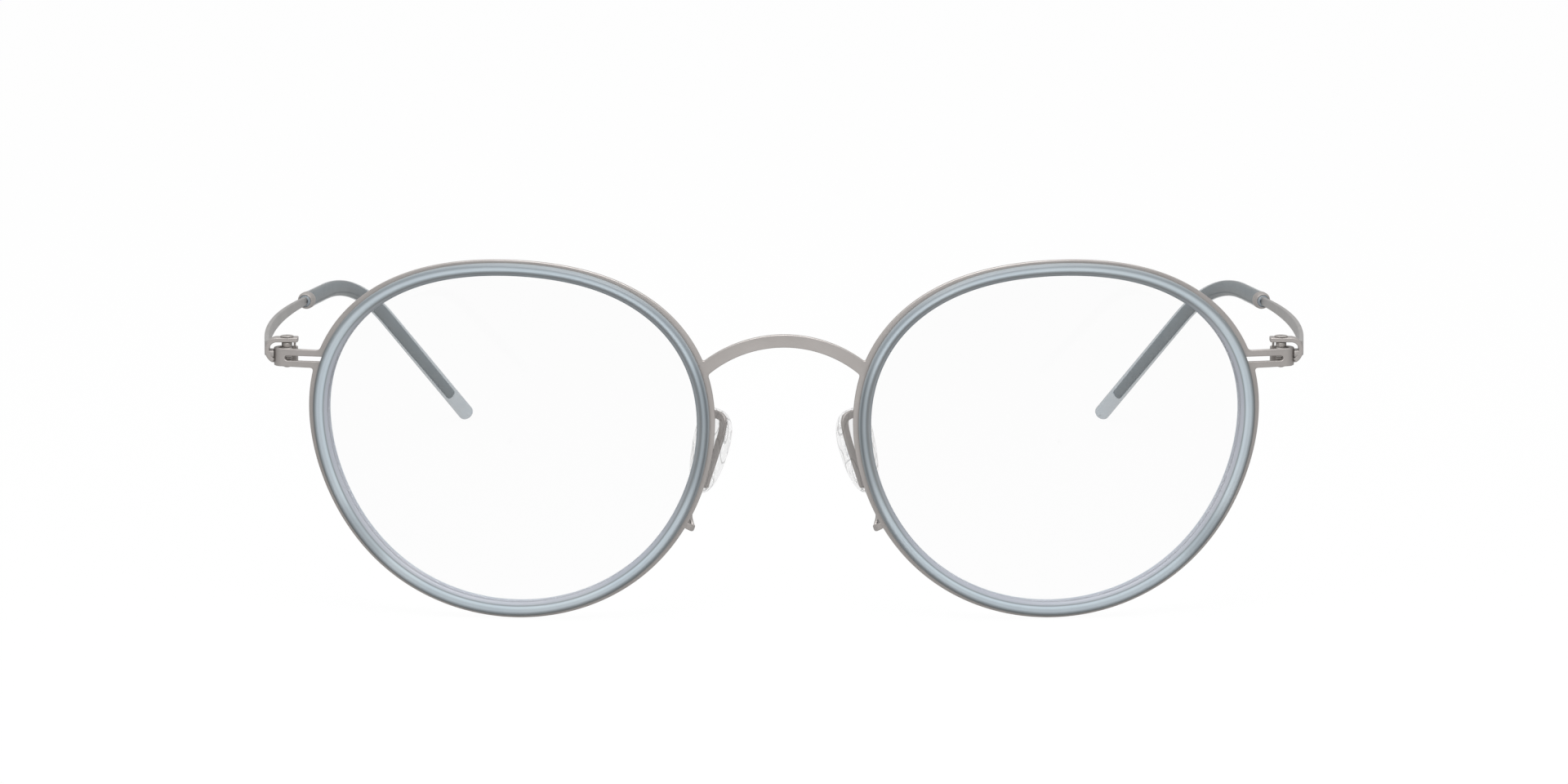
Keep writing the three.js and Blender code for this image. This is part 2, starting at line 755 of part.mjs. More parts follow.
// The middle line of the temple: a bowed arm, the bend over the ear and a straight tip.
function templeLine() {
  const start = new THREE.Vector3(hinge.x + forkWall - sheetMiddle, hinge.y, forkMiddle);
  const armEnd = new THREE.Vector3(start.x + armSpread, hinge.y + armLength, forkMiddle - armDrop);
  const bow = start.clone().lerp(armEnd, bowShare).add(new THREE.Vector3(armBow, 0, 0));
  const forward = armEnd.clone().sub(bow).normalize();
  const corner = armEnd.clone().addScaledVector(forward, earCorner);
  const tip = new THREE.Vector3(tipHalfSpacing, tipBack, 0);
  const slope = tip.clone().sub(corner).normalize();
  const bottom = sleeveDiameter / 2 - tipRound;
  tip.z = tipRound + bottom * Math.hypot(slope.x, slope.y) + tipRound * slope.z;
  const fall = tip.clone().sub(corner).normalize();
  const bendStart = corner.clone().addScaledVector(forward, -earLead);
  const bendEnd = corner.clone().addScaledVector(fall, earTrail);
  const line = new THREE.CurvePath();
  line.add(new THREE.QuadraticBezierCurve3(start, bow, armEnd));
  line.add(new THREE.LineCurve3(armEnd, bendStart));
  line.add(new THREE.QuadraticBezierCurve3(bendStart, corner, bendEnd));
  line.add(new THREE.LineCurve3(bendEnd, tip));
  return line;
}

function templeSide() {
  return new THREE.Vector3(1, 0, 0);
}

// Height of the strip at a distance along the temple: it narrows to the ferrule, then to the tip.
function heightAt(distance, length) {
  const toFerrule = THREE.MathUtils.clamp(distance / armLength, 0, 1);
  const toTip = THREE.MathUtils.clamp((distance - armLength) / (length - armLength), 0, 1);
  const strip = THREE.MathUtils.lerp(stripHeight, stripEndHeight, toFerrule);
  return THREE.MathUtils.lerp(strip, coreEndHeight, toTip);
}

function stripAndCore(gap, start) {
  const line = templeLine();
  const length = line.getLength();
  const strip = bar(sheet + 2 * gap, 1, start, length - tipSolid + gap, stripSteps);
  moveVertices(strip, (p) => p.setZ(p.z * (heightAt(p.y, length) + 2 * gap)));
  return layAlong(strip, line, templeSide);
}

function temple() {
  return geometryOf(fork().add(solid(stripAndCore(0, tabHalfWidth / 2))));
}

function ferrule() {
  const mouth = ferruleMouth / 2;
  const outside = ferruleDiameter / 2;
  const end = armLength + ferruleLength;
  const profile = [
    new THREE.Vector2(mouth - ferruleWall, armLength),
    new THREE.Vector2(mouth, armLength),
    new THREE.Vector2(outside, armLength + ferruleLength / 2),
    new THREE.Vector2(outside, end),
    new THREE.Vector2(mouth - ferruleWall, end),
    new THREE.Vector2(mouth - ferruleWall, armLength),
  ];
  return layAlong(new THREE.LatheGeometry(profile, ferruleSides), templeLine(), templeSide);
}

function templeSleeve() {
  const line = templeLine();
  const radius = sleeveDiameter / 2;
  const start = armLength + ferruleLength + ferruleGap;
  const end = line.getLength();
  const side = Array.from({ length: sleeveSteps }, (_, i) => {
    const distance = THREE.MathUtils.lerp(start, end - tipRound, i / sleeveSteps);
    return new THREE.Vector2(radius, distance);
  });
  const tip = quarter(radius - tipRound, end - tipRound, tipRound, 0, 90, 3);
  const profile = [new THREE.Vector2(0, start), ...side, ...tip, new THREE.Vector2(0, end)];
  const rod = layAlong(new THREE.LatheGeometry(profile, sleeveSides), line, templeSide);
  return geometryOf(solid(rod).subtract(solid(stripAndCore(coreClearance, armLength))));
}

// ---------------------------------------------------------------- the glasses

const glasses = new THREE.Group();

function add(name, geometry, material) {
  const mesh = new THREE.Mesh(facingOut(welded(geometry)), material);
  mesh.geometry.computeVertexNormals();
  mesh.name = name;
  glasses.add(mesh);
}

function addPair(name, geometry, material) {
  add(`${name}_left`, geometry, material);
  add(`${name}_right`, mirrored(geometry), material);
}

add('front_frame', frontFrame(), satinMetal);
addPair('inner_rim', innerRim(), acetate);
addPair('lens', lens(), lensResin);
addPair('nose_pad', nosePad(), silicone);
addPair('hinge_bush', hingeBush(), nylon);
addPair('washer_upper', hingeWasher(endPieceTop + runningGap, upperWasher), screwMetal);
addPair('washer_lower', hingeWasher(lowerTabTop + runningGap, lowerWasher), screwMetal);
addPair('hinge_screw', hingeScrew(), screwMetal);
addPair('temple', temple(), satinMetal);
addPair('ferrule', ferrule(), satinMetal);
addPair('temple_sleeve', templeSleeve(), acetate);

// The origin moves to the middle of the footprint, on the table.
const extent = new THREE.Box3().setFromObject(glasses);
glasses.position.set(0, -(extent.min.y + extent.max.y) / 2, -extent.min.z);

export default glasses;
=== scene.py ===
# %% [markdown]
# # Round wire eyeglasses
#
# A light pair of round glasses. One flat metal sheet makes both rims, the bridge and the end
# pieces. A ring of clear blue-grey acetate is snapped into each rim and holds the lens. Thin metal
# temples turn on a screw at each end piece and end in clear acetate sleeves. Soft clear pads rest
# on the nose.
#
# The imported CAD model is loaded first. It is the fixed frame: it says where each piece is, and
# what moves with what. Everything below is built in that frame, in metres, and stands in for the
# plainer CAD solids.

# %% Loading the frame
import math

import bpy
import numpy as np
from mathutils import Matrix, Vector, geometry


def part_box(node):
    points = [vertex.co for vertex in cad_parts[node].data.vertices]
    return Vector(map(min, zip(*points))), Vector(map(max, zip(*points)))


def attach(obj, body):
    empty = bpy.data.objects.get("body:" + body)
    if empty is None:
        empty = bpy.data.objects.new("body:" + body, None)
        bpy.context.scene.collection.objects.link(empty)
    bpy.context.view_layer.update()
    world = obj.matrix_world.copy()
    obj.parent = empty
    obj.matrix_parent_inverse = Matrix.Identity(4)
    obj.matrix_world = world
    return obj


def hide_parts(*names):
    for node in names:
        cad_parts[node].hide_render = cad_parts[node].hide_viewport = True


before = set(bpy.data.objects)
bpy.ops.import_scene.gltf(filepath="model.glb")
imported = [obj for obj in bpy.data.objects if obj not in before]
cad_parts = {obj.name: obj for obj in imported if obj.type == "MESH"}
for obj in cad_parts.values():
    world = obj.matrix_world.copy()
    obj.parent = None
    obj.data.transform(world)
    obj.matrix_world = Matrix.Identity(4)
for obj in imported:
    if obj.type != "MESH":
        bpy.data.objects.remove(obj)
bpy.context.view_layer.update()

# %% [markdown]
# ## The studio
#
# Eyewear is usually photographed from the front, a little from above, with a long lens, so that
# both rims stay round and the temples fold in behind them. A long focal length on a camera almost
# a metre away gives that look.

# %% Camera
camera_distance = 0.8
camera_height = 0.185476
camera_tilt = math.radians(10.95)
camera_focal_length = 142.875
sensor_width = 36
front_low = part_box("front_frame")[0]


def new_object(name, data):
    """An object that shows this data, in the scene."""
    made = bpy.data.objects.new(name, data)
    bpy.context.scene.collection.objects.link(made)
    return made


camera_data = bpy.data.cameras.new("long_lens")
camera_data.lens = camera_focal_length
camera_data.sensor_width = sensor_width
camera_data.clip_start = 0.01
camera = new_object("camera", camera_data)
camera.location = (0, front_low.y - camera_distance, camera_height)
camera.rotation_euler = (math.pi / 2 - camera_tilt, 0, 0)
bpy.context.scene.camera = camera
bpy.context.scene.view_settings.view_transform = "Standard"
print("camera", camera_distance, "m in front of the rims")

# %% [markdown]
# Two small helpers serve every material. Colours are written as the hex values that a painter or
# web page would use, and one function turns them to the linear numbers that the renderer wants.
# The other adds a node, fills in its settings and plugs in the nodes before it.


# %% Colour and node helpers
def linear(hex_colour):
    """An sRGB hex colour as linear red, green, blue and alpha."""
    shares = [int(hex_colour[i:i + 2], 16) / 255 for i in (1, 3, 5)]
    return [s / 12.92 if s <= 0.04045 else ((s + 0.055) / 1.055) ** 2.4 for s in shares] + [1]


def add_node(tree, kind, settings=(), out=0):
    """A new node's output. A setting is a property, or the value or the source of an input."""
    node = tree.nodes.new(kind)
    for name, value in dict(settings).items():
        if isinstance(value, bpy.types.NodeSocket):
            tree.links.new(value, node.inputs[name])
        elif isinstance(name, str) and hasattr(node, name):
            setattr(node, name, value)
        else:
            node.inputs[name].default_value = value
    return node.outputs[out] if node.outputs else None


print("hex #B4AFAC is", [round(value, 3) for value in linear("#B4AFAC")])

# %% [markdown]
# ## Paper sweep and daylight
#
# The floor is matt white paper that goes on for ever. What the camera sees of it, directly, in a
# reflection or through glass, is mostly plain white, and the rest is the paper's own shading, so a
# faint shadow stays under the glasses. The world does the same for what is beyond the paper. Metal
# mirrors a room that is brighter overhead than all round.

# %% Paper and room helpers
floor_white_share = 0.97
paper_colour = "#FFFFFF"
paper_bounce_colour = "#BEBEBD"
light_pool_distance = 0.2
light_pool_radius = 0.1
light_pool_fade = 2.5
mirrored_paper_shade = 0.55


def emptied_tree(owner):
    """The node tree of a material or a world, with nothing in it."""
    owner.use_nodes = True
    owner.node_tree.nodes.clear()
    return owner.node_tree


def seen_or_mirrored(tree):
    """1 for rays from the camera, from a mirror or through glass, and 0 for scattered light."""
    seen, mirrored, through = (add_node(tree, "ShaderNodeLightPath", out=f"Is {kind} Ray")
                               for kind in ("Camera", "Glossy", "Transmission"))
    either = add_node(tree, "ShaderNodeMath", {"operation": "MAXIMUM", 0: seen, 1: mirrored})
    return add_node(tree, "ShaderNodeMath", {"operation": "MAXIMUM", 0: either, 1: through})


def where_mirrored(tree, level):
    """That level for rays from a mirror, and 1 for all others."""
    mirrored = add_node(tree, "ShaderNodeLightPath", out="Is Glossy Ray")
    return add_node(tree, "ShaderNodeMix", {"data_type": "FLOAT", 0: mirrored, 2: 1.0, 3: level})


print("helpers for paper and room")

# %% Paper
paper = bpy.data.materials.new("matt_paper")
tree = emptied_tree(paper)
seen = seen_or_mirrored(tree)
share = add_node(tree, "ShaderNodeMath", {"operation": "MULTIPLY", 0: seen, 1: floor_white_share})
# A painted pool of light on the paper in front of the glasses: metal mirrors it at full white, and
# the rest of the paper dimmer, as painted shade.
from_light_pool = add_node(tree, "ShaderNodeVectorMath",
                      {"operation": "DISTANCE", 0: add_node(tree, "ShaderNodeNewGeometry"),
                       1: (0, front_low.y - light_pool_distance, 0)}, out="Value")
pool_falloff = add_node(tree, "ShaderNodeMapRange",
                   {"interpolation_type": "SMOOTHSTEP", "From Min": light_pool_radius,
                    "From Max": light_pool_fade * light_pool_radius, "To Min": 1.0,
                    "To Max": mirrored_paper_shade, "Value": from_light_pool})
shade = add_node(tree, "ShaderNodeMix",
                 {"data_type": "RGBA", 0: seen, 6: linear(paper_bounce_colour),
                  7: linear(paper_colour)}, out=2)
matt = add_node(tree, "ShaderNodeBsdfDiffuse", {"Color": shade})
white = add_node(tree, "ShaderNodeEmission",
                 {"Color": linear("#FFFFFF"), "Strength": where_mirrored(tree, pool_falloff)})
mix = add_node(tree, "ShaderNodeMixShader", {0: share, 1: matt, 2: white})
add_node(tree, "ShaderNodeOutputMaterial", {"Surface": mix})

print("paper:", len(tree.nodes), "nodes")

# %% Floor sheet
floor_size = 8.0
floor_gap = 0.00003
half = floor_size / 2
floor_mesh = bpy.data.meshes.new("paper_sweep")
corners = [(half * x, half * y, -floor_gap) for x, y in ((-1, -1), (1, -1), (1, 1), (-1, 1))]
floor_mesh.from_pydata(corners, [], [(0, 1, 2, 3)])
floor_mesh.materials.append(paper)
new_object("paper_sweep", floor_mesh)
print("floor", floor_size, "m wide")

# %% World
world_ambient = 0.6
room_sides = 0.5
room_top = 0.85
# How steeply a mirrored ray rises (1 is straight up) where the room starts and ends to brighten.
dim_rise, bright_rise = 0.35, 0.85

world = bpy.data.worlds.new("studio")
bpy.context.scene.world = world
tree = emptied_tree(world)
direction = add_node(tree, "ShaderNodeTexCoord", out="Generated")
rise = add_node(tree, "ShaderNodeSeparateXYZ", {0: direction}, out="Z")
overhead = add_node(tree, "ShaderNodeMapRange",
                    {"interpolation_type": "SMOOTHSTEP", "From Min": dim_rise,
                     "From Max": bright_rise, "To Min": room_sides, "To Max": room_top,
                     "Value": rise})
seen = add_node(tree, "ShaderNodeBackground",
                {"Color": linear("#FFFFFF"), "Strength": where_mirrored(tree, overhead)})
daylight = add_node(tree, "ShaderNodeBackground",
                    {"Color": linear("#FFFFFF"), "Strength": world_ambient})
mix = add_node(tree, "ShaderNodeMixShader", {0: seen_or_mirrored(tree), 1: daylight, 2: seen})
add_node(tree, "ShaderNodeOutputWorld", {"Surface": mix})
print("ambient light", world_ambient)

# %% [markdown]
# Two softboxes light the glasses, as on a photographer's table. A small one hangs just in front of
# the rims and above them, and a large one overhead softens the shadows.

# %% Softboxes
rims_middle_height = 0.024


def hang_softbox(name, place, width, height, power):
    """A soft rectangular lamp that looks at the middle of the front."""
    lamp = bpy.data.lights.new(name, "AREA")
    lamp.shape = "RECTANGLE"
    lamp.size = width
    lamp.size_y = height
    lamp.energy = power
    softbox = new_object(name, lamp)
    softbox.location = place
    aim = Vector((0, front_low.y, rims_middle_height)) - Vector(place)
    softbox.rotation_euler = aim.to_track_quat("-Z", "Y").to_euler()
    print(name, "of", power, "W")


hang_softbox("near_softbox", (0, front_low.y - 0.1, 0.18), 0.14, 0.08, 0.2)
hang_softbox("overhead_softbox", (0, -0.15, 0.62), 0.5, 0.35, 1.0)

# %% [markdown]
# ## Materials
#
# The sheet, the temples and the ferrules are titanium: stamped from sheet, tumbled with fine grit
# and plated a warm grey. The grit leaves a dense satin with no direction, so highlights are broad
# and soft. Real grit marks are about 0.03 mm, too fine to show here, so they are drawn at 0.15 mm.
# Plating is a little thicker in some places, which the eye reads as slow, faint changes of tone.

# %% Tumbled titanium
grit = 0.15e-3
plating_patch = 7e-3


def fine_grain(tree, where, size, roughness, height, strength):
    """Roughness between two values and a slight bump, both from grains of that size."""
    noise = add_node(tree, "ShaderNodeTexNoise",
                     {"Scale": 1 / size, "Detail": 2.0, "Vector": where})
    rough = add_node(tree, "ShaderNodeMapRange",
                     {"To Min": roughness[0], "To Max": roughness[1], "Value": noise})
    bump = add_node(tree, "ShaderNodeBump",
                    {"Strength": strength, "Distance": height, "Height": noise})
    return {"Roughness": rough, "Normal": bump}


def finished(name, settings, colours, patch, grain, painted=None):
    """A material that drifts between two hex colours, over tones and painted light on the mesh if any.

    Grain is the grains' size, the two roughnesses, and the bump's height and strength."""
    material = bpy.data.materials.new(name)
    tree = emptied_tree(material)
    where = add_node(tree, "ShaderNodeTexCoord", out="Object")
    noise = add_node(tree, "ShaderNodeTexNoise",
                     {"Scale": 1 / patch, "Detail": 4.0, "Vector": where})
    colour = add_node(tree, "ShaderNodeValToRGB", {0: noise})
    for end, position, shade in zip(colour.node.color_ramp.elements, (0.35, 0.65), colours):
        end.position = position
        end.color = linear(shade)
    if painted:
        tone = add_node(tree, "ShaderNodeAttribute", {"attribute_name": painted})
        colour = add_node(tree, "ShaderNodeMix",
                          {"data_type": "RGBA", "blend_type": "MULTIPLY", 0: 1.0, 6: colour,
                           7: tone}, out=2)
    shader = add_node(tree, "ShaderNodeBsdfPrincipled",
                      {**settings, "Base Color": colour, **fine_grain(tree, where, *grain)})
    add_node(tree, "ShaderNodeOutputMaterial", {"Surface": shader})
    print(name, settings, "roughness", grain[1])
    return material


tumbled_titanium = finished("tumbled_titanium", {"Metallic": 0.6}, ("#B4AFAC", "#BBB6B3"),
                            plating_patch, (grit, (0.37, 0.47), 0.01e-3, 0.25))
# The temples are tumbled longer than the front, which leaves them a lighter, cooler grey.
temple_titanium = finished("temple_titanium", {"Metallic": 0.75}, ("#B6B4B2", "#BEBCBA"),
                           plating_patch, (grit, (0.4, 0.5), 0.01e-3, 0.2))

# %% [markdown]
# The part of each temple that goes inside the sleeve isn't plated or tumbled. It keeps the dull,
# even grey of the rolling mill, with faint patches a few millimetres wide.

# %% Rolled titanium
rolled_patch = 3e-3
rolled_titanium = finished("rolled_titanium", {"Metallic": 0.25}, ("#ABA6A1", "#B2ADA8"),
                           rolled_patch, (grit, (0.66, 0.74), 0.005e-3, 0.05))

# %% [markdown]
# Screws and washers are turned steel, plated with the same grey. The lathe leaves them smoother than
# tumbled sheet, so their bump is weaker, and their tone is a touch deeper.

# %% Turned steel
turned_steel = finished("turned_steel", {"Metallic": 0.6}, ("#ADA8A4", "#B8B3AF"),
                        plating_patch / 2, (grit, (0.37, 0.47), 0.01e-3, 0.15))

# %% [markdown]
# The rings are cellulose acetate, cut from a clear blue-grey block and tumbled with wood chips and
# wax. Tumbling rounds the edges and leaves a soft gloss. The block is clear, with a slight haze:
# its edges gather light as a glass rod does, and the metal in the groove behind it darkens it. That
# play of light depends on the ring's section, so it is painted on the mesh further down, as painted
# highlights and painted shade.

# %% Tumbled acetate
acetate_cloud = 9e-3
wax_grain = 0.3e-3
acetate_index = 1.49
tone_and_painted_light = "tone_and_painted_light"
tumbled_acetate = finished("tumbled_acetate", {"IOR": acetate_index, "Transmission Weight": 0.2},
                           ("#F6F8FA", "#FFFFFF"), acetate_cloud,
                           (wax_grain, (0.3, 0.36), 0.005e-3, 0.02), tone_and_painted_light)

# %% [markdown]
# The temple sleeves are the same acetate, shot over the metal core and polished. A round rod of
# clear acetate spreads what is inside it, so the core looks wide and even in it. Light that is
# bent in such a thin rod renders dark and grainy. So the rod is set partly see-through instead,
# with its haze as its own colour, and the core inside is drawn as wide as it would look.

# %% Polished acetate
acetate_haze = 0.42
polished_acetate = finished("polished_acetate", {"IOR": acetate_index, "Alpha": acetate_haze},
                            ("#869BA8", "#8CA1AE"), acetate_cloud,
                            (wax_grain, (0.1, 0.14), 0.002e-3, 0.01))

# %% [markdown]
# The lenses are cast resin with an anti-glare coat. They are almost invisible: the coat takes away
# nearly all reflection, so most of each lens is set see-through and only a breath of gloss stays.

# %% Coated lens resin
resin_cloud = 20e-3
coat_ripple = 2e-3
coated_resin = finished("coated_lens_resin",
                        {"IOR": 1.5, "Transmission Weight": 1.0, "Alpha": 0.025},
                        ("#FCFDFD", "#FFFFFF"), resin_cloud,
                        (coat_ripple, (0.02, 0.04), 0.001e-3, 0.01))

# %% [markdown]
# The pads are clear silicone, moulded over the end of the pad arm. Moulded silicone is soft, clear
# and glossy. It gathers dark reflections of the room in a few lines and along its edges, so these
# are painted reflections: lines from a noise drawn out along the pad, and an edge that is darker and
# less clear.

# %% Moulded silicone
reflex_size = 1.6e-3
silicone_ripple = 1.2e-3
silicone_clear, silicone_painted_reflection = "#FDFDFE", "#7E7D7C"

moulded_silicone = bpy.data.materials.new("moulded_silicone")
tree = emptied_tree(moulded_silicone)
where = add_node(tree, "ShaderNodeTexCoord", out="Object")
# The painted reflections are drawn out along the pad, to four times their width.
drawn_out = add_node(tree, "ShaderNodeVectorMath",
                     {"operation": "MULTIPLY", 0: where, 1: (1, 1, 0.25)})
noise = add_node(tree, "ShaderNodeTexNoise",
                 {"Scale": 1 / reflex_size, "Detail": 0.0, "Vector": drawn_out})
reflection_lines = add_node(tree, "ShaderNodeValToRGB", {0: noise})
ramp = reflection_lines.node.color_ramp.elements
for position, level in ((0.42, 0), (0.46, 1), (0.49, 0), (0.62, 0), (0.64, 1), (0.66, 0)):
    ramp.new(position).color = (level, level, level, 1)
ramp[-1].color = (0, 0, 0, 1)
facing = add_node(tree, "ShaderNodeLayerWeight", out="Facing")
edge = add_node(tree, "ShaderNodeMapRange", {"From Min": 0.75, "From Max": 0.97, "Value": facing})
painted_reflection = add_node(tree, "ShaderNodeMath", {"operation": "MAXIMUM", 0: reflection_lines, 1: edge})
tone = add_node(tree, "ShaderNodeMix",
                {"data_type": "RGBA", 0: painted_reflection, 6: linear(silicone_clear),
                 7: linear(silicone_painted_reflection)}, out=2)
cover = add_node(tree, "ShaderNodeMapRange", {"To Min": 0.12, "To Max": 0.62, "Value": painted_reflection})
grain = fine_grain(tree, where, silicone_ripple, (0.01, 0.05), 0.01e-3, 0.05)
shader = add_node(tree, "ShaderNodeBsdfPrincipled",
                  {"IOR": 1.41, "Transmission Weight": 1.0, "Base Color": tone, "Alpha": cover,
                   **grain})
add_node(tree, "ShaderNodeOutputMaterial", {"Surface": shader})
print("silicone:", len(tree.nodes), "nodes")

# %% [markdown]
# The bushes in the hinges are grey nylon, a matt plastic that needs no oil. Their grey is painted
# paler than the nylon's own, as painted light where they show in the shaded slot.

# %% Moulded nylon
nylon_cloud = 1e-3
moulded_nylon = finished("moulded_nylon", {"IOR": 1.53}, ("#D6D2CE", "#DCD8D5"), nylon_cloud,
                         (grit, (0.45, 0.55), 0.01e-3, 0.2))

# %% [markdown]
# ## Making meshes
#
# The drawing below is in millimetres, with y = 0 on the front face of the metal sheet. Each piece
# is a cloud of points with faces between them. The glasses are the same on both sides, so most
# pieces are drawn once, for the wearer's left (+X), and mirrored.


# %% Mesh helpers
def facing_out(points, faces):
    """The same faces, turned over if the closed skin faces inward."""
    volume = sum(float(points[face[0]] @ np.cross(points[b], points[c]))
                 for face in faces for b, c in zip(face[1:-1], face[2:]))
    return faces if volume > 0 else [tuple(reversed(face)) for face in faces]


def make_piece(name, points, faces, material, body, node, tones=None):
    """A smooth piece from points in millimetres, which stands for a CAD node.

    Tones are one linear colour a point, plain or painted light and shade, kept on the mesh for its
    material."""
    faces = facing_out(points, faces)
    placed = points / 1000
    placed[:, 1] += front_low.y
    mesh = bpy.data.meshes.new(name)
    mesh.from_pydata(placed.tolist(), [], faces)
    mesh.polygons.foreach_set("use_smooth", [True] * len(mesh.polygons))
    mesh.materials.append(material)
    if tones is not None:
        layer = mesh.color_attributes.new(tone_and_painted_light, "FLOAT_COLOR", "POINT")
        layer.data.foreach_set("color", np.asarray(tones, float).ravel())
    piece = new_object(name, mesh)
    piece.modifiers.new("flat_faces_stay_flat", "WEIGHTED_NORMAL").keep_sharp = True
    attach(piece, body)
    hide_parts(node)
    print(name, len(points), "points")


def make_pair(name, skin, material, body, slot, node, tones=None):
    """The piece on the wearer's left and its mirror on the right."""
    points, faces = skin
    for side, sign in (("left", 1), ("right", -1)):
        own_body = body if body == "front" else f"{body}_{side}"
        own_node = f"{node}_{side}" if f"{node}_{side}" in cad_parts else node
        make_piece(f"{name}_{side}", points * (sign, 1, 1), faces, material, own_body,
                   own_node, tones)


def lofted(rings, closed=False):
    """A skin over rings with equally many points: closed to a loop, or with a cap at each end."""
    rings = np.asarray(rings, float)
    count, around = rings.shape[:2]
    faces = []
    for i in range(count if closed else count - 1):
        here, there = i * around, (i + 1) % count * around
        for j in range(around):
            k = (j + 1) % around
            faces.append((here + j, here + k, there + k, there + j))
    if not closed:
        faces.append(tuple(range(around)))
        faces.append(tuple(range(count * around - 1, (count - 1) * around - 1, -1)))
    return rings.reshape(-1, 3), faces

# %% [markdown]
# ## The rim's outline
#
# The rims aren't true circles. They are a circle with three slow waves: one leans it outward, one
# makes it fuller at the top, and one squares it a little. The same outline, moved in or out, makes
# the lens, the acetate ring and the rim. The whole front is then rolled around the face, on an
# upright cylinder of 350 mm radius.

# %% Outline
lens_width = 49.97
lens_height = 44.58
bridge_distance = 22.11
acetate_wall = 1.8
bevel_depth = 0.5
rim_exposed_sides = 0.7
rim_exposed_top = 0.36
outline_lean = 0.0096
outline_panto = 0.0293
outline_corners = -0.0107
face_radius = 350.0
outline_steps = 288

rim_reach = acetate_wall - bevel_depth
lens_size = np.array([lens_width, lens_height])
rim_size = lens_size + 2 * (rim_reach + np.array([rim_exposed_sides, rim_exposed_top]))
rim_centre = np.array([(bridge_distance + lens_width) / 2, rim_size[1] / 2])


def wave_radius(angle):
    """Distance from the middle to the wavy circle."""
    return (1 + outline_lean * np.sin(2 * angle) + outline_panto * np.sin(3 * angle)
            + outline_corners * np.cos(4 * angle))


def wave_point(angle):
    """A point of the wavy circle before it is stretched to its box."""
    return wave_radius(angle)[..., None] * np.stack([np.cos(angle), np.sin(angle)], -1)


search = wave_point(np.linspace(0, 2 * math.pi, 720, endpoint=False))
wave_middle = (search.min(0) + search.max(0)) / 2
wave_box = search.max(0) - search.min(0)


def unit(vector):
    """The same direction with length 1."""
    return vector / np.linalg.norm(vector, axis=-1, keepdims=True)


def outline_at(angle, size):
    """Points of the left outline, stretched to a box of that size."""
    return rim_centre + (wave_point(np.asarray(angle, float)) - wave_middle) / wave_box * size


def outline_normal(angle, size):
    """The direction straight out of the outline."""
    along = unit(outline_at(angle + 0.001, size) - outline_at(angle - 0.001, size))
    return np.stack([along[..., 1], -along[..., 0]], -1)


def moved_outline(angle, distance):
    """The lens outline, moved straight out by a distance."""
    return outline_at(angle, lens_size) + distance * outline_normal(angle, lens_size)


def rim_angle(point):
    """The rim's angle at a point, and how far out the point is: above 1 it is outside the rim."""
    flat = (np.asarray(point) - rim_centre) / rim_size * wave_box + wave_middle
    angle = math.atan2(flat[1], flat[0]) % (2 * math.pi)
    return angle, np.hypot(*flat) / wave_radius(angle)


def rolled(points):
    """Rolls points of the flat front around the face."""
    x, y, z = np.moveaxis(np.asarray(points, float), -1, 0)
    angle = x / face_radius
    radius = face_radius - y
    return np.stack([radius * np.sin(angle), face_radius - radius * np.cos(angle), z], -1)


def smoothstep(value, low, high):
    """0 below low, 1 above high and a smooth rise in between."""
    share = np.clip((value - low) / (high - low), 0, 1)
    return share * share * (3 - 2 * share)


round_trip = np.linspace(0, 2 * math.pi, outline_steps, endpoint=False)
print("rim box, mm:", rim_size.round(2), "around", rim_centre.round(2))

# %% [markdown]
# ## Acetate rings
#
# On the bench this is a turned ring with a groove outside, which the metal rim snaps into, and a
# vee groove inside for the lens. It stands proud of the metal in front. A section of the ring is
# drawn once and carried round the outline. Each of its points has a painted tone for where the ring
# is turned to the light and a painted shade for the rest: crests get pale painted highlights, and
# the creases beside them dark painted shade.

# %% Ring section
sheet = 0.6
rim_seat = 0.5
seat_clearance = 0.06
acetate_depth = 2.5
acetate_proud = 1.1
back_bevel = 0.25
bevel_half_height = 0.4
groove_clearance = 0.08
lens_middle = acetate_depth / 2 - acetate_proud
# The lens opening sits a little nearer the nose and higher than the rim around it.
inner_shift = np.array([-0.15, 0.1])


def arc(x, y, radius, start, end, steps):
    """Points on a circle from one angle to another, in degrees."""
    turns = np.radians(np.linspace(start, end, steps + 1))
    return [(x + radius * math.cos(t), y + radius * math.sin(t)) for t in turns]


def turned_to_outline(section):
    """A section of (radius, y) pairs carried round the left outline and rolled round the face."""
    edge = lens_width / 2
    rings = []
    for radius, y in section:
        own_shift = inner_shift * (1 - smoothstep(radius, edge + 0.1, edge + 0.7))
        ring = moved_outline(round_trip, max(radius - edge, 0))
        x, z = (rim_centre + (ring - rim_centre) * min(radius / edge, 1) + own_shift).T
        rings.append(rolled(np.stack([x, np.full(len(x), y), z], -1)))
    return rings


inside = lens_width / 2 - bevel_depth
outside = inside + acetate_wall
front = -acetate_proud
back = front + acetate_depth
groove = bevel_half_height + groove_clearance
crease = inside + 0.48
# Point by point: how far out from its start, how far behind the ring's front, the painted light
# where the ring is turned to the light and the painted shade elsewhere.
lit_wall, shaded_wall = "#C8CBD4", "#A3AAB2"
crest, outer_wall = "#D6E1E8", "#ADB3B6"
from_inside = [(0, 0.9, lit_wall, shaded_wall), (0, 0.5, lit_wall, "#A8B0B6"),
               (0.03, 0.4, lit_wall, "#A6ACB0"), (0.15, 0.32, lit_wall, "#A2A8AC")]
from_crease = [(-0.18, 0.24, "#C4C8D0", "#A8ADB1"), (-0.09, 0.2, "#C0C5CC", "#94979A"),
               (-0.03, 0.17, "#A0A8AD", "#8F9395"), (0.05, 0.14, "#A0A8AD", "#8F9395"),
               (0.11, 0.12, "#CBD6DD", "#A2A9AE"), (0.22, 0.06, "#DCE8EF", "#BBC4CA"),
               (0.34, 0, "#DCE8EF", "#CFDAE0"), (0.45, 0, crest, crest)]
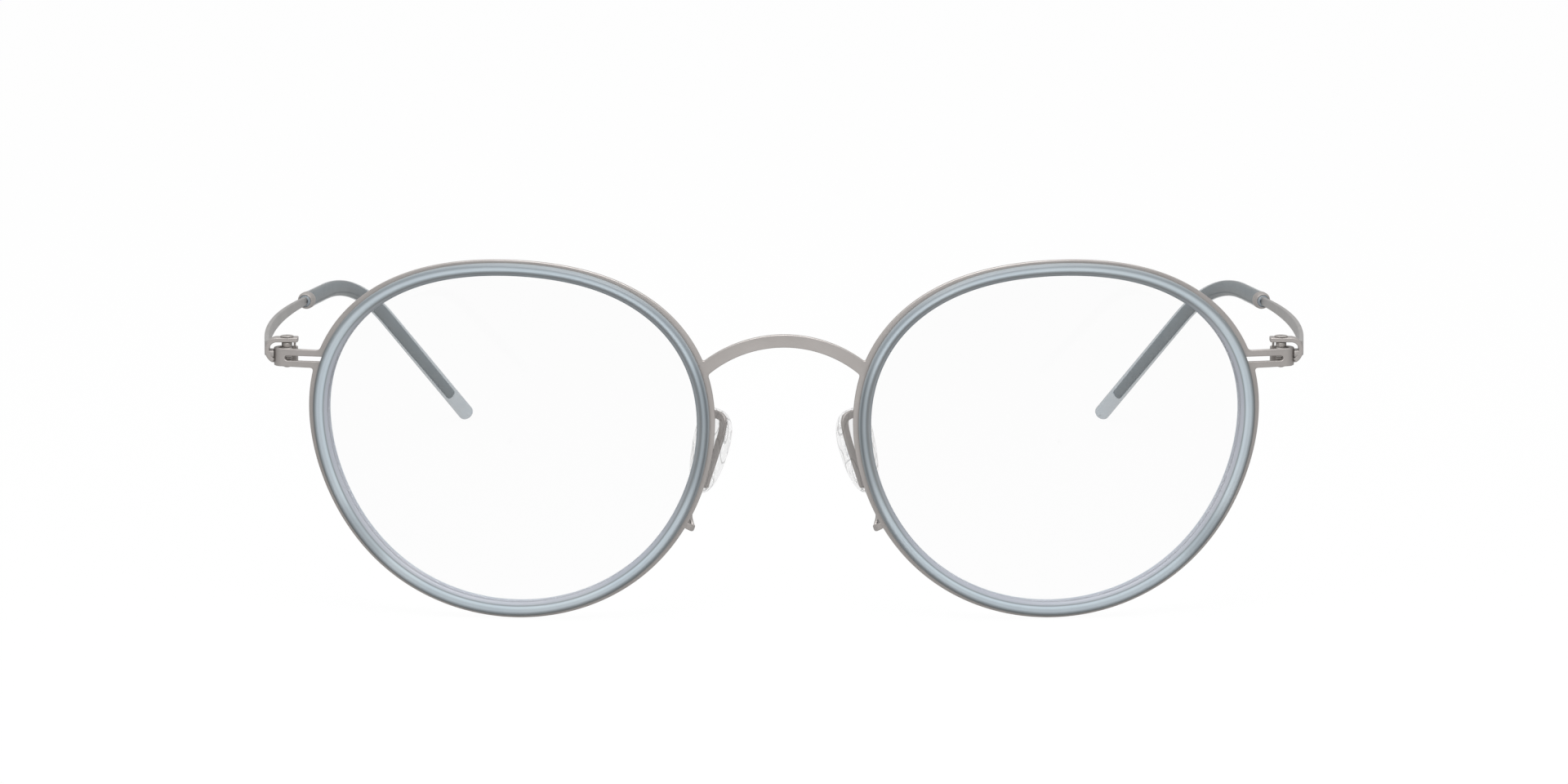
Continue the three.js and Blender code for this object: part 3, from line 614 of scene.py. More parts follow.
from_outside = [(-0.66, 0, crest, crest), (-0.58, 0.005, "#CCD6DD", "#C8D2D9"),
                (-0.5, 0.01, "#BCC6CC", "#BCC6CC"), (-0.38, 0.03, "#9AA2A8", "#A9B1B6"),
                (-0.27, 0.09, "#969EA4", "#93989B"), (-0.13, 0.19, "#A0A8AD", "#868989"),
                (-0.04, 0.32, outer_wall, "#828485"), (0, 0.45, outer_wall, "#8A8C8E")]
ring_section = [
    *[(start + shift, front + depth, lit, dull)
      for start, rows in ((inside, from_inside), (crease, from_crease), (outside, from_outside))
      for shift, depth, lit, dull in rows],
    (outside, -seat_clearance, outer_wall, "#A5ADB3"),
    (outside - rim_seat, -seat_clearance, outer_wall, outer_wall),
    (outside - rim_seat, sheet + seat_clearance, outer_wall, outer_wall),
    (outside, sheet + seat_clearance, outer_wall, outer_wall),
    *[(x, y, crest, crest)
      for x, y in (*arc(outside - back_bevel, back - back_bevel, back_bevel, 0, 90, 4),
                   *arc(inside + back_bevel, back - back_bevel, back_bevel, 90, 180, 4))],
    (inside, lens_middle + groove, lit_wall, shaded_wall),
    (lens_width / 2 + groove_clearance, lens_middle, lit_wall, shaded_wall),
    (inside, lens_middle - groove, lit_wall, shaded_wall),
]
print("ring section:", len(ring_section), "points")

# %% [markdown]
# The light and shade are painted on the points of the ring. Light that is bent in so narrow a ring
# would take very long to render without noise, and painted highlights and painted shade give the
# same pale edges and dark creases.

# %% Tones and rings
# The ring's face is pale all round, but for painted shade in two places that look at the dark sides
# of the room.
light_side = np.array([-0.6, 0.8])
ring_normals = outline_normal(round_trip, lens_size)
faces_light = ring_normals @ light_side
# Each dark side has a direction, the share of tone lost to painted shade and how near to it the
# loss starts.
dark_sides = [((-1.0, 0.0), 0.38, 0.88), ((0.79, -0.61), 0.25, 0.972)]
painted_shade_factor = 1 - sum(loss * smoothstep(ring_normals @ np.array(side), start, 1.0)
               for side, loss, start in dark_sides)[:, None]
painted_ring_light = []
for radius, y, lit, dull in ring_section:
    if radius > (inside + outside) / 2:
        share = smoothstep(faces_light, -0.55, 0.6)[:, None]
    else:
        share = smoothstep(-faces_light, -0.45, 0.2)[:, None]
    tones = (1 - share) * linear(dull) + share * linear(lit)
    painted_ring_light.append(tones * (painted_shade_factor if crease + 0.1 < radius < outside - 0.2 else 1))
ring_rings = turned_to_outline([(radius, y) for radius, y, _, _ in ring_section])
make_pair("acetate_ring", lofted(ring_rings, closed=True), tumbled_acetate, "front", "acetate",
          "inner_rim", np.concatenate(painted_ring_light))

# %% [markdown]
# ## Lenses
#
# Each lens is a thin curved shell, cast and then ground to the outline with a vee edge that sits in
# the ring's groove. Both faces follow the same curve, so it doesn't magnify. Half a section, from
# near the middle to the edge and back, is carried round the outline like the ring's.

# %% Lenses
lens_thickness = 1.6
lens_bulge = 2.2
shoulder = lens_width / 2 - bevel_depth - groove_clearance


def lens_face(height):
    """One face of the lens, from near its middle to its shoulder."""
    return [(shoulder * s, lens_middle + height - lens_bulge * (1 - s * s))
            for s in (0.002, *np.linspace(0.02, 1, 25))]


lens_section = [
    *lens_face(-lens_thickness / 2),
    (shoulder, lens_middle - bevel_half_height),
    (lens_width / 2, lens_middle),
    (shoulder, lens_middle + bevel_half_height),
    *reversed(lens_face(lens_thickness / 2)),
]
make_pair("lens_shell", lofted(turned_to_outline(lens_section)), coated_resin, "front",
          "lens_resin", "lens")

# %% [markdown]
# ## Front sheet
#
# The rims, the bridge and the end pieces are one flat blank, cut from 0.6 mm sheet. The ends of the
# blank are strips that are curled back to make the barrel of the hinge. So the piece is made as the
# real one is: outlines first, then the blank with its tumbled edges, then the curl, and last the
# roll around the face.


# %% Path tools
def trimmed(path, reach):
    """A path without the last stretch of that length."""
    left = np.cumsum(np.linalg.norm(np.diff(path, axis=0), axis=1)[::-1])[::-1]
    kept = path[:-1][left > reach]
    over = left[len(kept) - 1] - reach
    return np.vstack([kept, kept[-1] + unit(path[len(kept)] - kept[-1]) * over])


def joined_round(paths, reaches):
    """Paths that meet in corners, with each corner rounded over its reach on both sides."""
    whole = paths[0]
    t = np.linspace(0, 1, 8)[1:-1, None]
    for path, reach in zip(paths[1:], reaches):
        corner = whole[-1]
        first = trimmed(whole, reach)
        second = trimmed(path[::-1], reach)[::-1]
        bend = (1 - t) ** 2 * first[-1] + 2 * t * (1 - t) * corner + t ** 2 * second[0]
        whole = np.vstack([first, bend, second])
    return whole


def straight(start, end, step):
    """A straight path cut into even steps."""
    start, end = np.asarray(start, float), np.asarray(end, float)
    count = max(int(np.linalg.norm(end - start) / step), 2)
    return start + np.linspace(0, 1, count + 1)[:, None] * (end - start)


def straights(corners, steps):
    """Straight paths from corner to corner, each with its own step."""
    return [straight(a, b, step) for a, b, step in zip(corners, corners[1:], steps)]


sample = joined_round(straights([(0, 0), (4, 0), (4, 3)], (0.5, 0.5)), [1])
print("two straights joined round:", len(sample), "points")

# %% [markdown]
# A blank is cut and then tumbled, so its edges are round. Its front and back faces are triangles
# between the outlines and, where it will be bent, a grid of inner points. Rows of narrow faces
# round the edges between them.


# %% Blank tool
def inset_sides(loop):
    """For each point of a closed loop, the direction into the metal on its left."""
    along = unit(unit(np.roll(loop, -1, 0) - loop) + unit(loop - np.roll(loop, 1, 0)))
    return np.stack([-along[:, 1], along[:, 0]], -1)


def in_metal(points, loops):
    """Which points are inside the outer loop and outside the holes."""
    inside = np.zeros(len(points), bool)
    x, z = points.T
    for loop in loops:
        for (x0, z0), (x1, z1) in zip(loop, np.roll(loop, -1, 0)):
            if z0 != z1:
                inside ^= ((z0 > z) != (z1 > z)) & (x < (x1 - x0) * (z - z0) / (z1 - z0) + x0)
    return inside


def blank(loops, thickness, edge_radius, inner=()):
    """A sheet blank with rounded edges: (x, z, depth) points and faces.

    Metal lies left of the loops. Inner points let the blank bend smoothly."""
    rounding = [(edge_radius * (1 - math.sin(t)), edge_radius * (1 - math.cos(t)))
                for t in np.linspace(0, math.pi / 2, 5)]
    rounding += [(inset, thickness - depth) for inset, depth in reversed(rounding)]
    outline = np.vstack(loops)
    sides = np.vstack([inset_sides(loop) for loop in loops])
    count = len(outline)
    starts = np.cumsum([0] + [len(loop) for loop in loops])
    ahead = np.concatenate([start + np.roll(np.arange(len(loop)), -1)
                            for start, loop in zip(starts, loops)])
    faces = []
    for k in range(len(rounding) - 1):
        here = k * count + np.arange(count)
        faces += np.stack([here, here + count, ahead + (k + 1) * count, ahead + k * count],
                          -1).tolist()

    inner = np.asarray(inner, float).reshape(-1, 2)
    flat = np.vstack([outline + edge_radius * sides, inner])
    made = geometry.delaunay_2d_cdt([Vector(p) for p in flat],
                                    list(zip(range(count), ahead.tolist())), [], 0, 1e-7)
    # Where an inner corner is tighter than the edge's rounding, the outline crosses itself and the
    # triangulation adds a point. Its triangles are left out, so a small opening stays there.
    number = np.array([came[0] if came else -1 for came in made[3]])
    triangles = number[np.array(made[2])]
    triangles = triangles[(triangles >= 0).all(1)]
    edges = np.split(flat[:count], starts[1:-1])
    triangles = triangles[in_metal(flat[triangles].mean(1), edges)]
    total = count * len(rounding)
    front = np.append(np.arange(count), total + np.arange(len(inner)))
    back = np.append(total - count + np.arange(count), front[count:] + len(inner))
    faces += front[triangles].tolist() + back[triangles[:, ::-1]].tolist()
    layers = [(outline + inset * sides, depth) for inset, depth in rounding]
    layers += [(inner, 0), (inner, thickness)]
    points = [np.column_stack([layer, np.full(len(layer), depth)]) for layer, depth in layers]
    return np.vstack(points), faces


square = np.array([(0, 0), (9, 0), (9, 9), (0, 9)], float)
print("a square blank:", len(blank([square], sheet, 0.1)[1]), "faces")

# %% Bridge and end piece edges
bridge_top = rim_centre[1] + 14.35
bridge_band = 1.72
bridge_radius = 16.4
bridge_middle = bridge_top - bridge_band / 2 - bridge_radius
bridge_flare = 0.065
bridge_start = math.acos((bridge_distance - rim_seat) / 2 / bridge_radius)
end_top = rim_centre[1] + 11.35
end_height = 2.4
end_length = 3.665
end_overlap = 4
end_fall = 0.15
rim_side_x = rim_centre[0] + rim_size[0] / 2
end_reach = rim_side_x + end_length


def bridge_edge(side):
    """A function from 0 in the middle to 1 at the rim along the bridge's top or bottom edge."""
    def point(share):
        angle = math.pi / 2 - share * (math.pi / 2 - bridge_start)
        radius = bridge_radius + side * bridge_band / 2 - (side < 0) * bridge_flare * share ** 2
        return np.array([radius * math.cos(angle), bridge_middle + radius * math.sin(angle)])
    return point


def end_edge(height):
    """A function from 0 at the curl to 1 inside the rim along an edge of the end piece."""
    inside_x = rim_side_x - end_overlap
    return lambda share: np.array([end_reach + share * (inside_x - end_reach),
                                   height - end_fall * share])


def edge_to_rim(point_at, clear, steps):
    """The edge's points up to the rim, and the rim's angle there. At clear it is still outside."""
    inside = 1.0
    for _ in range(40):
        middle = (clear + inside) / 2
        if rim_angle(point_at(middle))[1] > 1:
            clear = middle
        else:
            inside = middle
    path = np.array([point_at(clear * i / steps) for i in range(steps + 1)])
    return path, rim_angle(path[-1])[0]


under_bridge, under_angle = edge_to_rim(bridge_edge(-1), 0.8, 48)
over_bridge, over_angle = edge_to_rim(bridge_edge(1), 0.8, 48)
end_bottom, bottom_angle = edge_to_rim(end_edge(end_top - end_height), 0.3, 12)
end_upper, upper_angle = edge_to_rim(end_edge(end_top), 0.3, 12)
print("bridge meets the rim at", round(math.degrees(over_angle)), "and",
      round(math.degrees(under_angle)), "degrees")

# %% The blank of the front
curl_inside = 0.7
curl_tail = 1.65
curl_outside = curl_inside + sheet
curl_middle = curl_inside + sheet / 2
barrel_height = 1.3
barrel_bottom = end_top - barrel_height
relief_depth = 1.0
relief_reach = curl_middle * math.acos((curl_outside - relief_depth) / curl_middle)
bridge_fillet = 0.4
end_fillet = 0.5
cut_corner = 0.2
tumbled_edge = 0.13
strip_step = 0.12
foot_length = 0.95

strip_bottom = end_top - end_height
strip_end = end_reach + math.pi * curl_middle + curl_tail
relief = end_reach + relief_reach
# The tail ends in a foot as low as the front, which stiffens the slotted end.
foot = strip_end - foot_length
foot_bottom = strip_bottom + 0.12
tab_corners = [(end_reach, strip_bottom), (relief, strip_bottom), (relief, barrel_bottom),
               (foot, barrel_bottom), (foot, foot_bottom), (strip_end, foot_bottom),
               (strip_end, end_top), (end_reach, end_top)]
tab_path = joined_round(straights(tab_corners, [strip_step] * 7),
                        (cut_corner, 0.15, 0.1, cut_corner, cut_corner, cut_corner))
strip_path = np.vstack([end_bottom[:0:-1], tab_path, end_upper[1:]])


def rim_stretch(start, end):
    """The rim's outer edge from one angle to another."""
    count = int(outline_steps * abs(end - start) / (2 * math.pi))
    return outline_at(np.linspace(start, end, count + 1), rim_size)


half_front = joined_round([under_bridge, rim_stretch(under_angle, bottom_angle + 2 * math.pi),
                           strip_path, rim_stretch(upper_angle, over_angle), over_bridge[::-1]],
                          (bridge_fillet, end_fillet, end_fillet, bridge_fillet))
outer_loop = np.vstack([half_front, (half_front * (-1, 1))[-2:0:-1]])
print("front blank:", len(outer_loop), "points round the outside")

# %% [markdown]
# A slot runs from each rim's opening out into the end piece, which lets the rim give a little when
# its ring is snapped in. The opening and its slot are drawn as one outline, a hole in the blank.

# %% Holes and slots
slot_height = 0.66
slot_corner = 0.15
slot_step = 0.3
slot_top = end_top - 0.94
slot_bottom = slot_top - slot_height
slot_middle = (slot_top + slot_bottom) / 2
slot_end = end_reach - 0.45 - slot_height / 2
hole_reach = rim_reach - rim_seat + seat_clearance
grid_across, grid_up = 0.11, 0.22
grid_margin = 0.2


def hole_angle_at(height):
    """The angle at which the hole's outer side is at a height."""
    tries = np.linspace(0, 1.2, 2400)
    return tries[np.argmin(abs(moved_outline(tries, hole_reach)[:, 1] - height))]


hole_turns = np.linspace(hole_angle_at(slot_bottom), hole_angle_at(slot_top) - 2 * math.pi,
                         outline_steps + 1)
hole_path = moved_outline(hole_turns, hole_reach)
slot_path = np.vstack([straight(hole_path[-1], (slot_end, slot_top), slot_step)[:-1],
                       arc(slot_end, slot_middle, slot_height / 2, 90, -90, 12),
                       straight((slot_end, slot_bottom), hole_path[0], slot_step)[1:]])
hole_loop = joined_round([hole_path, slot_path], [slot_corner])
# The loop's start is a corner too. It is rounded after some points of the start go to the end.
hole_loop = joined_round([hole_loop[5:], np.vstack([hole_loop[-1:], hole_loop[:6]])], [0.1])[:-1]
# Inner points only where the strip will curl, and clear of its edges.
curl_grid = [(x, z) for x in np.arange(end_reach - 0.6, strip_end - grid_margin, grid_across)
             for z in np.arange(strip_bottom + 0.24, end_top - grid_margin, grid_up)
             if z > barrel_bottom + grid_margin or not relief - grid_margin <= x <= foot + grid_margin]
curl_grid += [(-x, z) for x, z in curl_grid]
front_points, front_faces = blank([outer_loop, hole_loop, (hole_loop * (-1, 1))[::-1]], sheet,
                                  tumbled_edge, curl_grid)
print("front blank:", len(front_faces), "faces,", len(hole_loop), "points round a hole")

# %% [markdown]
# The strip is curled with its inner face on a mandrel, and stops in a short tail behind the barrel.
# Its lower half is cut away behind the front, to make room for the temple's lower tab.


# %% Curling and rolling the front
def curled(points):
    """Curls the strips at both ends of a blank back around the hinge."""
    side = np.sign(points[:, 0])
    x, z, y = abs(points[:, 0]), points[:, 1], points[:, 2]
    radius = curl_outside - y
    lower = (x > end_reach) & (x < relief + 0.5) & (z < barrel_bottom - 0.01)
    cut = np.arccos(np.clip((curl_outside - relief_depth) / radius, -1, 1)) * curl_middle
    along = np.where(lower, (x - end_reach) * cut / relief_reach, x - end_reach)
    turn = np.clip(along / curl_middle, 0, math.pi)
    tail = np.clip(along - math.pi * curl_middle, 0, None)
    beyond = along > 0
    return np.stack([side * np.where(beyond, end_reach + radius * np.sin(turn) - tail, x),
                     np.where(beyond, curl_outside - radius * np.cos(turn), y), z], -1)


make_piece("front_sheet", rolled(curled(front_points)), front_faces, tumbled_titanium, "front",
           "front_frame")

# %% [markdown]
# ## Nose pads and their arms
#
# A pad arm is a flat wire. It leaves the rim as a small lug, bends back and up behind the rim, and
# turns over in a loop that the silicone pad is moulded around. Each pad is a rounded plate, wider
# at its top, that leans and splays like the side of a nose.

# %% Pad frame
lug_angle = math.radians(210)
lug_edge = outline_at(lug_angle, rim_size)
pad_offset = (-2.97, 6.3, 8.823)
pad_centre = np.array([lug_edge[0], 0, lug_edge[1]]) + pad_offset
pad_length = 11.5
pad_width = 5.9
pad_thickness = 2.0
pad_taper = 0.22
pad_squareness = 0.8
pad_splay = math.radians(45)
pad_lean = math.radians(13.8)
tiny_radius = 0.02

pad_up = np.array([-math.sin(pad_lean), 0, math.cos(pad_lean)])
pad_across = np.array([math.sin(pad_splay), math.cos(pad_splay), 0])
pad_across = unit(pad_across - pad_across.dot(pad_up) * pad_up)
pad_out = np.cross(pad_across, pad_up)


def on_pad(x, y, z=0.0):
    """A point given across, along and out of the pad."""
    return pad_centre + x * pad_across + y * pad_up + z * pad_out


flat_share = 1 - pad_thickness / pad_width
face = [(tiny_radius, pad_thickness / 2), (flat_share / 2, pad_thickness / 2)]
edge = arc(0, 0, pad_thickness / 2, 90, -90, 18)
pad_section = [*face, *[(flat_share + x * 2 / pad_width, y) for x, y in edge],
               *[(x, -y) for x, y in reversed(face)]]
pad_turns = np.linspace(0, 2 * math.pi, 96, endpoint=False)
squared = [np.sign(f) * abs(f) ** pad_squareness for f in (np.cos(pad_turns), np.sin(pad_turns))]
pad_rings = [[on_pad(a * radius * pad_width * (1 + pad_taper * b * radius) / 2,
                     b * radius * pad_length / 2, height) for a, b in zip(*squared)]
             for radius, height in pad_section]
make_pair("silicone_pad", lofted(pad_rings), moulded_silicone, "front", "silicone", "nose_pad")

# %% Line of a pad arm
arm_width = 0.85
arm_thickness = 0.5
arm_corner = 0.14
arm_round_end = 0.4
loop_shift = 0.3
loop_radius = 1.7
loop_top = 4.95
loop_end = 5.0
loop_taper = 0.08
loop_flattening = 0.25
arm_rise = 1.3
lug_reach = 0.92
lug_elbow = 0.42
lug_out = outline_normal(lug_angle, rim_size)


def lug_point(distance, depth):
    """A point straight out of the rim at the lug."""
    x, z = lug_edge + distance * lug_out
    return rolled([x, depth, z])


def loop_half_width(y):
    """The loop narrows downward."""
    return loop_radius - loop_taper * (loop_top - loop_radius - y)


def smooth_line(points, samples=60):
    """A curve through points, with knots spaced by the square root of their distance."""
    points = np.asarray(points, float)
    ends = [2 * points[0] - points[1], 2 * points[-1] - points[-2]]
    points = np.vstack([ends[0], points, ends[1]])
    t = np.linspace(0, 1, samples, endpoint=False)[:, None]
    line = []
    for p0, p1, p2, p3 in zip(points, points[1:], points[2:], points[3:]):
        a, b, c = (np.linalg.norm(end - start) ** 0.5
                   for start, end in ((p0, p1), (p1, p2), (p2, p3)))
        start = b * ((p1 - p0) / a - (p2 - p0) / (a + b) + (p2 - p1) / b)
        end = b * ((p2 - p1) / b - (p3 - p1) / (b + c) + (p3 - p2) / c)
        line.append(p1 + t * start + t ** 2 * (-3 * p1 + 3 * p2 - 2 * start - end)
                    + t ** 3 * (2 * p1 - 2 * p2 + start + end))
    return np.vstack([*line, points[-2:-1]])


def gone_along(line):
    """How far along a fine line each of its points is."""
    return np.append(0, np.cumsum(np.linalg.norm(np.diff(line, axis=0), axis=1)))


def along_line(line, distances):
    """Points and directions at distances along a fine line."""
    gone = gone_along(line)
    at, behind, ahead = (np.stack([np.interp(distances + shift, gone, row) for row in line.T], -1)
                         for shift in (0, -0.04, 0.04))
    return at, unit(ahead - behind)


low_end = -pad_length / 3
arm_line = smooth_line([
    lug_point(-sheet, sheet / 2),
    lug_point(lug_reach / 2, sheet / 2),
    lug_point(lug_reach, sheet + arm_width / 2),
    lug_point(lug_elbow, sheet + arm_rise) + (0, 0, arm_width),
    on_pad(loop_shift + loop_half_width(low_end), low_end),
    *[on_pad(x, y) for x, y in arc(loop_shift, loop_top - loop_radius, loop_radius, 0, 90, 2)],
    on_pad(loop_shift - 0.8 * loop_radius, loop_top - 0.16 * loop_radius),
    on_pad(loop_shift - loop_radius, loop_top - loop_radius),
    on_pad(loop_shift - loop_half_width(-loop_end), -loop_end),
])
print("pad arm, mm:", gone_along(arm_line)[-1].round(1))


# %% Pad arms
def rounded_section(thickness, height, corner, steps=4):
    """A rectangle with rounded corners, as (side, across) pairs."""
    a, b = thickness / 2 - corner, height / 2 - corner
    middles = (a, b), (-a, b), (-a, -b), (a, -b)
    return np.array([point for k, (x, y) in enumerate(middles)
                     for point in arc(x, y, corner, 90 * k, 90 * k + 90, steps)])


def swept(sections, line, distances, sides):
    """Carries sections along a line. Sides say which way a section's first axis points."""
    centres, forwards = along_line(line, distances)
    sides = unit(sides - (sides * forwards).sum(-1, keepdims=True) * forwards)
    across = np.cross(sides, forwards)
    return [centre + section[:, :1] * side + section[:, 1:] * other
            for section, centre, side, other in zip(sections, centres, sides, across)]


def to_rounded_end(start, end, reach, steps):
    """Distances up to a rounded end, and how much of the full height is left at each."""
    distances = np.append(np.linspace(start, end - reach, steps),
                          end - reach * np.cos(np.linspace(0, math.pi / 2, 9))[1:])
    left = np.clip((end - distances) / reach, 0, 1)
    return distances, np.maximum(np.sqrt(1 - (1 - left) ** 2), 0.05)


# The shares of its length over which the arm bends back, twists to the pad and is flattened. The
# loop inside the pad is flattened a little, which keeps the silicone from slipping off it.
arm_bends, arm_twists, arm_flattens = (0.02, 0.1), (0.1, 0.35), (0.35, 0.5)
arm_end = gone_along(arm_line)[-1] - 0.12
arm_distances, left_of_end = to_rounded_end(0, arm_end, arm_round_end, 150)
shares = arm_distances / arm_end
bend_share = smoothstep(shares, *arm_bends)[:, None]
twist_share = smoothstep(shares, *arm_twists)[:, None]
arm_sides = (1 - bend_share) * [0, 1.0, 0] - bend_share * [lug_out[0], 0, lug_out[1]]
arm_sides = (1 - twist_share) * arm_sides + twist_share * pad_out
arm_section = rounded_section(arm_thickness, arm_width, arm_corner)
flattened = 1 + loop_flattening * smoothstep(shares, *arm_flattens)
arm_sections = [arm_section * (max(left, 0.3), left * wide)
                for left, wide in zip(left_of_end, flattened)]
make_pair("pad_arm", lofted(swept(arm_sections, arm_line, arm_distances, arm_sides)),
          tumbled_titanium, "front", "satin_metal", "front_frame")

# %% [markdown]
# ## Hinges
#
# The temple ends in a fork bent from sheet. Its two tabs hold the barrel, with a washer above and
# below and a nylon bush inside. A headed screw goes down through all of them and is riveted under
# the lower tab. A small post on the barrel's tail stops the temple when it is fully open.

# %% Hinge places
hinge_inset = 0.46
hinge_place = rolled([end_reach - hinge_inset, curl_outside, 0.0])
upper_washer = 0.65
lower_washer = 0.25
play = 0.05
upper_tab_bottom = end_top + upper_washer + 2 * play
upper_tab_top = upper_tab_bottom + sheet
lower_tab_top = barrel_bottom - lower_washer - 2 * play
lower_tab_bottom = lower_tab_top - sheet
fork_middle = (upper_tab_top + lower_tab_bottom) / 2
fork_wall = 2.9
fork_corner = 1.6
fork_low_corner = 2.0
print("hinge axis, mm:", hinge_place.round(3))

# %% Screws, washers and bushes
circle = np.array(arc(0, 0, 1, 0, 360, 48))[:-1]


def stacked(middle, section, levels):
    """A section over a point, repeated at each (scale, z)."""
    return [np.column_stack([middle + section * scale, np.full(len(section), z)])
            for scale, z in levels]


def tube_section(bottom, height, outside, inside, edge):
    """A tube with small chamfers on its outer edges, as (radius, z) pairs."""
    top = bottom + height
    return [(inside / 2, bottom), (outside / 2 - edge, bottom), (outside / 2, bottom + edge),
            (outside / 2, top - edge), (outside / 2 - edge, top), (inside / 2, top)]


screw_shank = 0.8
screw_head = 1.76
washer_width = 1.4
bush_width = 1.24
screw_hole = screw_shank + 0.16
head_bottom = upper_tab_top + play
head_rim = 0.07
head_edge = 0.12
crown_start = screw_head / 2 - head_edge
screw_bottom = lower_tab_bottom - play
rivet_radius = 0.6
rivet_drop = 0.12
rivet_bulge = 0.3
rivet = [(rivet_radius * math.cos(t), screw_bottom - rivet_drop - rivet_bulge * math.sin(t))
         for t in np.radians(np.linspace(88, 0, 10))]
dome = [(crown_start + head_edge * math.cos(t), head_bottom + head_rim + 0.06 * math.sin(t))
        for t in np.radians(np.linspace(0, 60, 5))]
dome += [(share * crown_start, head_bottom + head_rim + 0.1 - 0.05 * share ** 2)
         for share in (0.95, 0.8, 0.6, 0.4, 0.2, 0.03)]
screw_section = [*rivet, (rivet_radius, screw_bottom), (screw_shank / 2, screw_bottom),
                 (screw_shank / 2, head_bottom), (screw_head / 2 - 0.08, head_bottom),
                 (screw_head / 2, head_bottom + 0.05), *dome]
make_pair("domed_screw", lofted(stacked(hinge_place[:2], circle, screw_section)), turned_steel,
          "temple", "screw_metal", "hinge_screw")
for name, tube, looks in (
    ("upper_collar", (end_top + play, upper_washer, washer_width, screw_hole, 0.06),
     (turned_steel, "temple", "screw_metal", "washer_upper")),
    ("lower_collar", (lower_tab_top + play, lower_washer, washer_width, screw_hole, 0.06),
     (turned_steel, "temple", "screw_metal", "washer_lower")),
    ("nylon_bush", (barrel_bottom, barrel_height, bush_width, screw_hole, 0.04),
     (moulded_nylon, "front", "nylon", "hinge_bush")),
):
    rings = stacked(hinge_place[:2], circle, tube_section(*tube))
    make_pair(name, lofted(rings, closed=True), *looks)

# %% [markdown]
# The fork is a blank too. Flat, it is a strip with a hole near one end and a round eye at the
# other. It is bent to a C, and the long strip of the temple runs back from its wall.

# %% Fork
tab_half_width = 0.85
tab_inner = 1.5
tab_corner = 0.3
eye_radius = 0.7
neck_half_width = 0.35
neck_shift = 0.1
neck_corner = 0.15
fork_edge = 0.12
bend_radius = fork_corner - sheet / 2
low_bend_radius = fork_low_corner - sheet / 2
bend_length = bend_radius * math.pi / 2
low_bend_length = low_bend_radius * math.pi / 2
tab_length = tab_inner + fork_wall - fork_corner
wall_start = tab_length + bend_length
wall_height = upper_tab_top - lower_tab_bottom - fork_corner - fork_low_corner
wall_end = wall_start + wall_height
lower_start = wall_end + low_bend_length
eye_at = lower_start + fork_wall - fork_low_corner
neck_clear = 1.75 - (fork_wall - fork_low_corner)
neck_start = lower_start - low_bend_radius * math.asin(neck_clear / low_bend_radius)
eye_turn = math.asin(neck_half_width / eye_radius)
neck_end = eye_at - eye_radius * math.cos(eye_turn)

fork_corners = [(0, 0), (0, -tab_half_width), (neck_start, -tab_half_width),
                (neck_start, -neck_half_width), (neck_end, -neck_half_width)]
fork_low = joined_round(straights(fork_corners, (0.1, 0.12, 0.08, 0.1)),
                        (tab_corner, neck_corner, neck_corner))
fork_low = np.vstack([fork_low,
                      arc(eye_at, 0, eye_radius, math.degrees(eye_turn) - 180, 0, 20)[1:]])
fork_loop = np.vstack([fork_low, (fork_low * (1, -1))[-2:0:-1]])
holes = [np.array(arc(x, 0, screw_hole / 2, 360, 0, 28))[:-1] for x in (tab_inner, eye_at)]
fork_points, fork_faces = blank([fork_loop, *holes], sheet, fork_edge)


def bent_fork(points):
    """Bends the flat fork to a C around the barrel. Depth 0 is the outer face."""
    s, t, depth = points.T
    wall_x = hinge_place[0] + fork_wall
    first = np.clip(s - tab_length, 0, bend_length) / bend_radius
    second = np.clip(s - wall_end, 0, low_bend_length) / low_bend_radius
    radius, low_radius = fork_corner - depth, fork_low_corner - depth
    x = np.where(s < tab_length, hinge_place[0] - tab_inner + s,
                 wall_x - fork_corner + radius * np.sin(first))
    z = (upper_tab_top - fork_corner + radius * np.cos(first)
         - np.clip(s - wall_start, 0, wall_height))
    lower = s > wall_end
    x = np.where(lower, wall_x - fork_low_corner + low_radius * np.cos(second), x)
    z = np.where(lower, lower_tab_bottom + fork_low_corner - low_radius * np.sin(second), z)
    # The narrow neck is moved back a little, clear of the front.
    by_neck = (smoothstep(s, neck_start - 0.4, neck_start + 0.1)
               * (1 - smoothstep(s, neck_end - 0.1, neck_end + 0.5)))
    return np.stack([x - np.clip(s - lower_start, 0, None),
                     hinge_place[1] + t + neck_shift * by_neck, z], -1)


make_pair("hinge_fork", (bent_fork(fork_points), fork_faces), tumbled_titanium, "temple",
          "satin_metal", "temple")

# %% [markdown]
# The lower half of the fork's wall is coined thicker on its inner side, so it nearly closes the gap
# to the barrel and keeps the eye in line.

# %% Coined heels
heel_inner, heel_outer = 1.7, 2.5
heel_front, heel_back = -0.83, 0.8
small_corner = 0.05
heel_top = end_top - 0.32
heel_bottom = lower_tab_bottom + 0.95
heel_middle = hinge_place[:2] + ((heel_inner + heel_outer) / 2, (heel_front + heel_back) / 2)
heel_section = rounded_section(heel_outer - heel_inner, heel_back - heel_front, small_corner)
heel_levels = [(0.7, heel_bottom), (1, heel_bottom + 0.15), (1, heel_top - 0.08), (0.88, heel_top)]
make_pair("coined_heel", lofted(stacked(heel_middle, heel_section, heel_levels)),
          tumbled_titanium, "temple", "satin_metal", "temple")

# %% [markdown]
# A small post stands on the tail of each barrel. The fork's upper tab meets it when the temple is
# fully open. It is a short rounded bar, so one section is stacked up.

